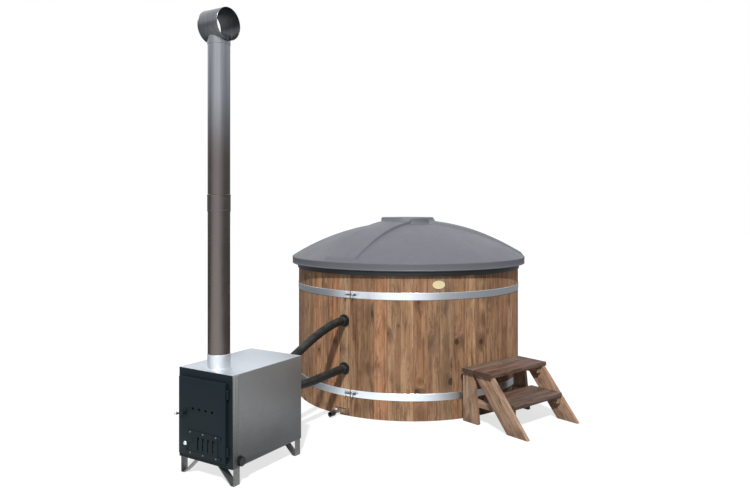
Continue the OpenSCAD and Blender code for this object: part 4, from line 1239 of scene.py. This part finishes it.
# Flue
@dataclass
class Flue(SubAssembly):
    """Collar, two pipes and the open hat."""

    x: float = -0.020
    y: float = -2.142
    pipe_r: float = 0.062
    wall: float = 0.002
    seat: float = 0.604
    joint: float = 1.560
    socket: float = 0.092
    top: float = 2.440
    hat_r: float = 0.092
    hat_len: float = 0.150
    slip: float = 0.0003

    @property
    def axis(self) -> Matrix:
        """The flue's axis, with its origin on the ground."""
        return Matrix.Translation((self.x, self.y, 0.0))

    def build(self) -> None:
        """Build the flue."""
        self.collar()
        self.pipes()
        self.hat()

    def collar(self) -> None:
        """Build the bright spigot that the pipe stands in."""
        out, throat, bore = self.pipe_r + 0.0018, self.pipe_r - 0.005, self.pipe_r + self.slip
        forge = Forge()
        forge.turned([(throat, 0.561), (out, 0.561), (out, 0.594), (out + 0.008, 0.594),
                      (out + 0.008, 0.5950), (out + 0.0074, 0.5953), (out + 0.0006, 0.5953),
                      (out, 0.5960), (out, 0.599), (out, 0.670), (out, 0.673),
                      (out - 0.0007, 0.674), (bore, 0.674), (bore, self.seat),
                      (throat, self.seat)], self.axis)
        self.keep(forge.finish("flue_spigot", 30.0), Finish.COLLAR, Body.SET, ["flue_collar"])

    def pipes(self) -> None:
        """Build both pipes, the upper one with its beaded socket."""
        out, inner = self.pipe_r, self.pipe_r - self.wall
        forge = Forge()
        forge.turned([(inner, self.seat), (out, self.seat), (out, self.joint), (inner, self.joint)],
                     self.axis)
        self.seam(forge, self.seat + 0.072, self.joint - self.socket - 0.002)
        self.keep(forge.finish("lower_pipe", 30.0), Finish.FLUE, Body.SET, ["lower_flue"])
        low = self.joint - self.socket
        bore = out + self.slip
        sock = bore + self.wall
        forge = Forge()
        forge.turned([(bore, low), (sock + 0.0003, low), (sock + 0.0006, low + 0.0015),
                      (sock + 0.0006, low + 0.0035), (sock, low + 0.006), (sock, low + 0.009),
                      (sock, self.joint - 0.010), (sock, self.joint - 0.007),
                      (sock + 0.0008, self.joint - 0.0045), (sock + 0.0008, self.joint - 0.003),
                      (sock + 0.0008, self.joint + 0.0005), (out, self.joint + 0.0027),
                      (out, self.joint + 0.006), (out, self.joint + 0.012), (out, self.top),
                      (inner, self.top), (inner, self.joint), (bore, self.joint)], self.axis)
        self.seam(forge, self.joint + 0.010, self.top - 0.026)
        self.keep(forge.finish("upper_pipe", 30.0), Finish.FLUE, Body.SET, ["upper_flue"])

    def seam(self, forge: Forge, low: float, high: float) -> None:
        """Add a pipe's upright weld seam on its rear side.

        Args:
            forge: The pipe's mesh.
            low: The seam's lower end.
            high: The seam's upper end.
        """
        outline = [(-0.0003, -0.002), (0.0003, -0.0013), (0.0005, 0.0),
                   (0.0003, 0.0013), (-0.0003, 0.002)]
        place = self.axis @ spun(70.0) @ Matrix.Translation((self.pipe_r, 0.0, low))
        forge.prism(outline, high - low, place)

    def hat(self) -> None:
        """Build the open hat: a lying tube with rolled ends on a short sleeve."""
        wall, half = 0.0015, self.hat_len / 2
        centre = self.top + self.hat_r - 0.023
        forge = Forge()
        out, bead = self.hat_r, 0.0022
        rolled = [(out - bead + bead * math.cos(a), half - bead + bead * math.sin(a))
                  for a in (math.radians(d) for d in range(-60, 241, 30))]
        inner = out - wall
        profile = [(out - 0.0008, -half + 0.008), (out - 0.0008, half - 0.006)] + rolled \
            + [(inner - 0.0009, half - 0.007), (inner - 0.0009, -half + 0.007)] \
            + [(r, -z) for r, z in reversed(rolled)]
        lying = Matrix.Translation((self.x, self.y, centre)) @ TO_RIGHT
        forge.turned(profile, lying, 120)
        sleeve = self.pipe_r + self.slip
        low = centre - self.hat_r - 0.016
        forge.turned([(sleeve, low), (sleeve + wall, low), (sleeve + wall, low + 0.05),
                      (sleeve, low + 0.05)], self.axis)
        self.keep(forge.finish("open_hat", 35.0), Finish.FLUE, Body.SET, ["flue_hat"])


# Steps
@dataclass
class Steps(SubAssembly):
    """The free-standing two-tread step."""

    azimuth: float = -18.7
    lean: float = 0.84

    def build(self) -> None:
        """Build the steps, each board with its own grain."""
        out, across = spun(self.azimuth) @ X_AXIS, spun(self.azimuth) @ Y_AXIS
        slant = (out * -self.lean + Z_AXIS).normalized()
        for node, finish, width, segments, grain, seed in (
                ("upper_tread", Finish.TREAD, 0.003, 3, across, 21),
                ("lower_tread", Finish.TREAD, 0.003, 3, across, 22),
                ("slanted_legs", Finish.STEP_LEG, 0.003, 3, slant, 23),
                ("rear_legs", Finish.STEP_LEG, 0.003, 3, Z_AXIS, 24),
                ("step_cleats", Finish.STEP_LEG, 0.002, 2, out, 25)):
            self.soften(node, finish, Body.STEPS, width, segments, grain, seed)
        self.soften("step_screws", Finish.FASTENER, Body.STEPS, 0.0003)


# Studio
@dataclass
class Studio:
    """Camera, pale floor, soft light and white surroundings."""

    location: Point = (2.679, -4.836, 1.4767)
    heading: float = 31.8
    lens: float = 31.8
    shift_y: float = -0.0535
    sun_from: Point = (0.38, -0.62, 0.80)

    def camera(self) -> None:
        """Place the camera at the photograph's viewing angle."""
        data = bpy.data.cameras.new("photo_camera")
        data.lens = self.lens
        data.sensor_width = 36.0
        data.shift_y = self.shift_y
        data.clip_end = 100.0
        eye = placed("photo_camera", data)
        eye.location = self.location
        eye.rotation_euler = (math.radians(90.0), 0.0, math.radians(self.heading))
        bpy.context.scene.camera = eye

    def lights(self) -> None:
        """Add a high key light and a weak fill from behind on the left."""
        for name, source, strength, angle in (("key", self.sun_from, 3.4, 3.0),
                                              ("fill", (-0.95, 0.15, 0.45), 0.16, 40.0)):
            data = bpy.data.lights.new(name, "SUN")
            data.energy = strength
            data.angle = math.radians(angle)
            lamp = placed(name, data)
            lamp.rotation_euler = Vector(source).to_track_quat("Z", "Y").to_euler()

    def world(self) -> None:
        """Make the surroundings white to the camera and a soft studio to the object."""
        world = bpy.data.worlds.new("studio")
        bpy.context.scene.world = world
        world.use_nodes = True
        world.node_tree.nodes.clear()
        graph = Graph(world.node_tree)
        direction = graph.add("TexCoord").outputs["Generated"]
        side = graph.vector("DOT_PRODUCT", direction, (0.485, -0.875, 0.0))
        front = graph.ease(side, 0.25, 0.95, 0.34, 1.05)
        above = graph.ease(graph.part(direction, 2), 0.08, 0.34, 0.0, 1.2)
        tint = graph.tinted(graph.grey(graph.math("MAXIMUM", front, above)), (0.97, 0.99, 1.04))
        rays = graph.add("LightPath").outputs
        white = (1.0, 1.0, 1.0)
        plain, seen, mirrored = (
            graph.add("Background", {"Color": colour, "Strength": strength}).outputs[0]
            for colour, strength in ((white, 0.26), (white, 1.0), (tint, 1.0)))
        first = graph.add("MixShader", {0: rays["Is Glossy Ray"], 1: plain, 2: mirrored})
        last = graph.add("MixShader", {0: rays["Is Camera Ray"], 1: first.outputs[0], 2: seen})
        graph.add("OutputWorld", {0: last.outputs[0]})

    def floor(self) -> None:
        """Lay a wide pale floor that keeps the object's shadow, and that glows for glossy rays with
        a strength shaped by place, a painted reflection in the metal.
        """
        bm = bmesh.new()
        bmesh.ops.create_grid(bm, x_segments=1, y_segments=1, size=40.0)
        mesh = bpy.data.meshes.new("pale_floor")
        bm.to_mesh(mesh)
        bm.free()
        floor = placed("pale_floor", mesh)
        floor.location.z = -0.0005
        bench = MaterialBench("pale_floor", {"Base Color": (0.32, 0.32, 0.32), "Roughness": 0.9,
                                             "IOR": 1.5, "Specular IOR Level": 0.0})
        graph, nodes = bench.graph, bench.material.node_tree.nodes
        rays = graph.add("LightPath").outputs
        seen = graph.times(rays["Is Camera Ray"], 0.72)
        glow = graph.add("Emission", {"Color": (1.0, 1.0, 1.0), "Strength": seen})
        lit = graph.add("AddShader", {0: nodes["Principled BSDF"].outputs[0], 1: glow.outputs[0]})
        # Painted reflection: for glossy rays the floor glows brighter towards -Y and dimmer on the
        # -X side near the tub, which sets the light and dark of the reflections in the hoops and
        # the casing.
        coords = graph.coords()
        away = graph.vector("NORMALIZE", coords)
        side = graph.vector("DOT_PRODUCT", away, (0.105, -0.995, 0.0))
        dimmed = graph.times(graph.ease(graph.part(away, 0), -0.42, -0.12, 1.0, 0.0),
                             graph.ease(graph.vector("LENGTH", coords), 1.8, 3.0, 0.62, 0.25))
        bright = graph.times(graph.ease(side, 0.58, 0.93, 0.26, 1.45),
                             graph.math("SUBTRACT", 1.0, dimmed))
        mirrored = graph.add("Emission", {"Color": (0.97, 0.99, 1.0), "Strength": bright})
        both = graph.add("MixShader", {0: rays["Is Glossy Ray"], 1: lit.outputs[0],
                                       2: mirrored.outputs[0]})
        graph.put(nodes["Material Output"].inputs[0], both.outputs[0])
        mesh.materials.append(bench.material)

    def build(self) -> None:
        """Set the whole studio up."""
        bpy.context.scene.view_settings.view_transform = "Standard"
        self.lights()
        self.world()
        self.floor()


def main() -> None:
    """Load the frame, build every sub-assembly and report what was made."""
    logging.basicConfig(level=logging.INFO, format="%(name)s %(message)s")
    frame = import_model()
    studio = Studio()
    studio.camera()
    for kind in (Hoses, Tub, Cover, Stove, Flue, Steps):
        part = kind(frame["nodes"])
        part.build()
        LOG.info("%s: %d pieces", type(part).__name__, len(part.made))
    studio.build()


if __name__ == "__main__":
    main()
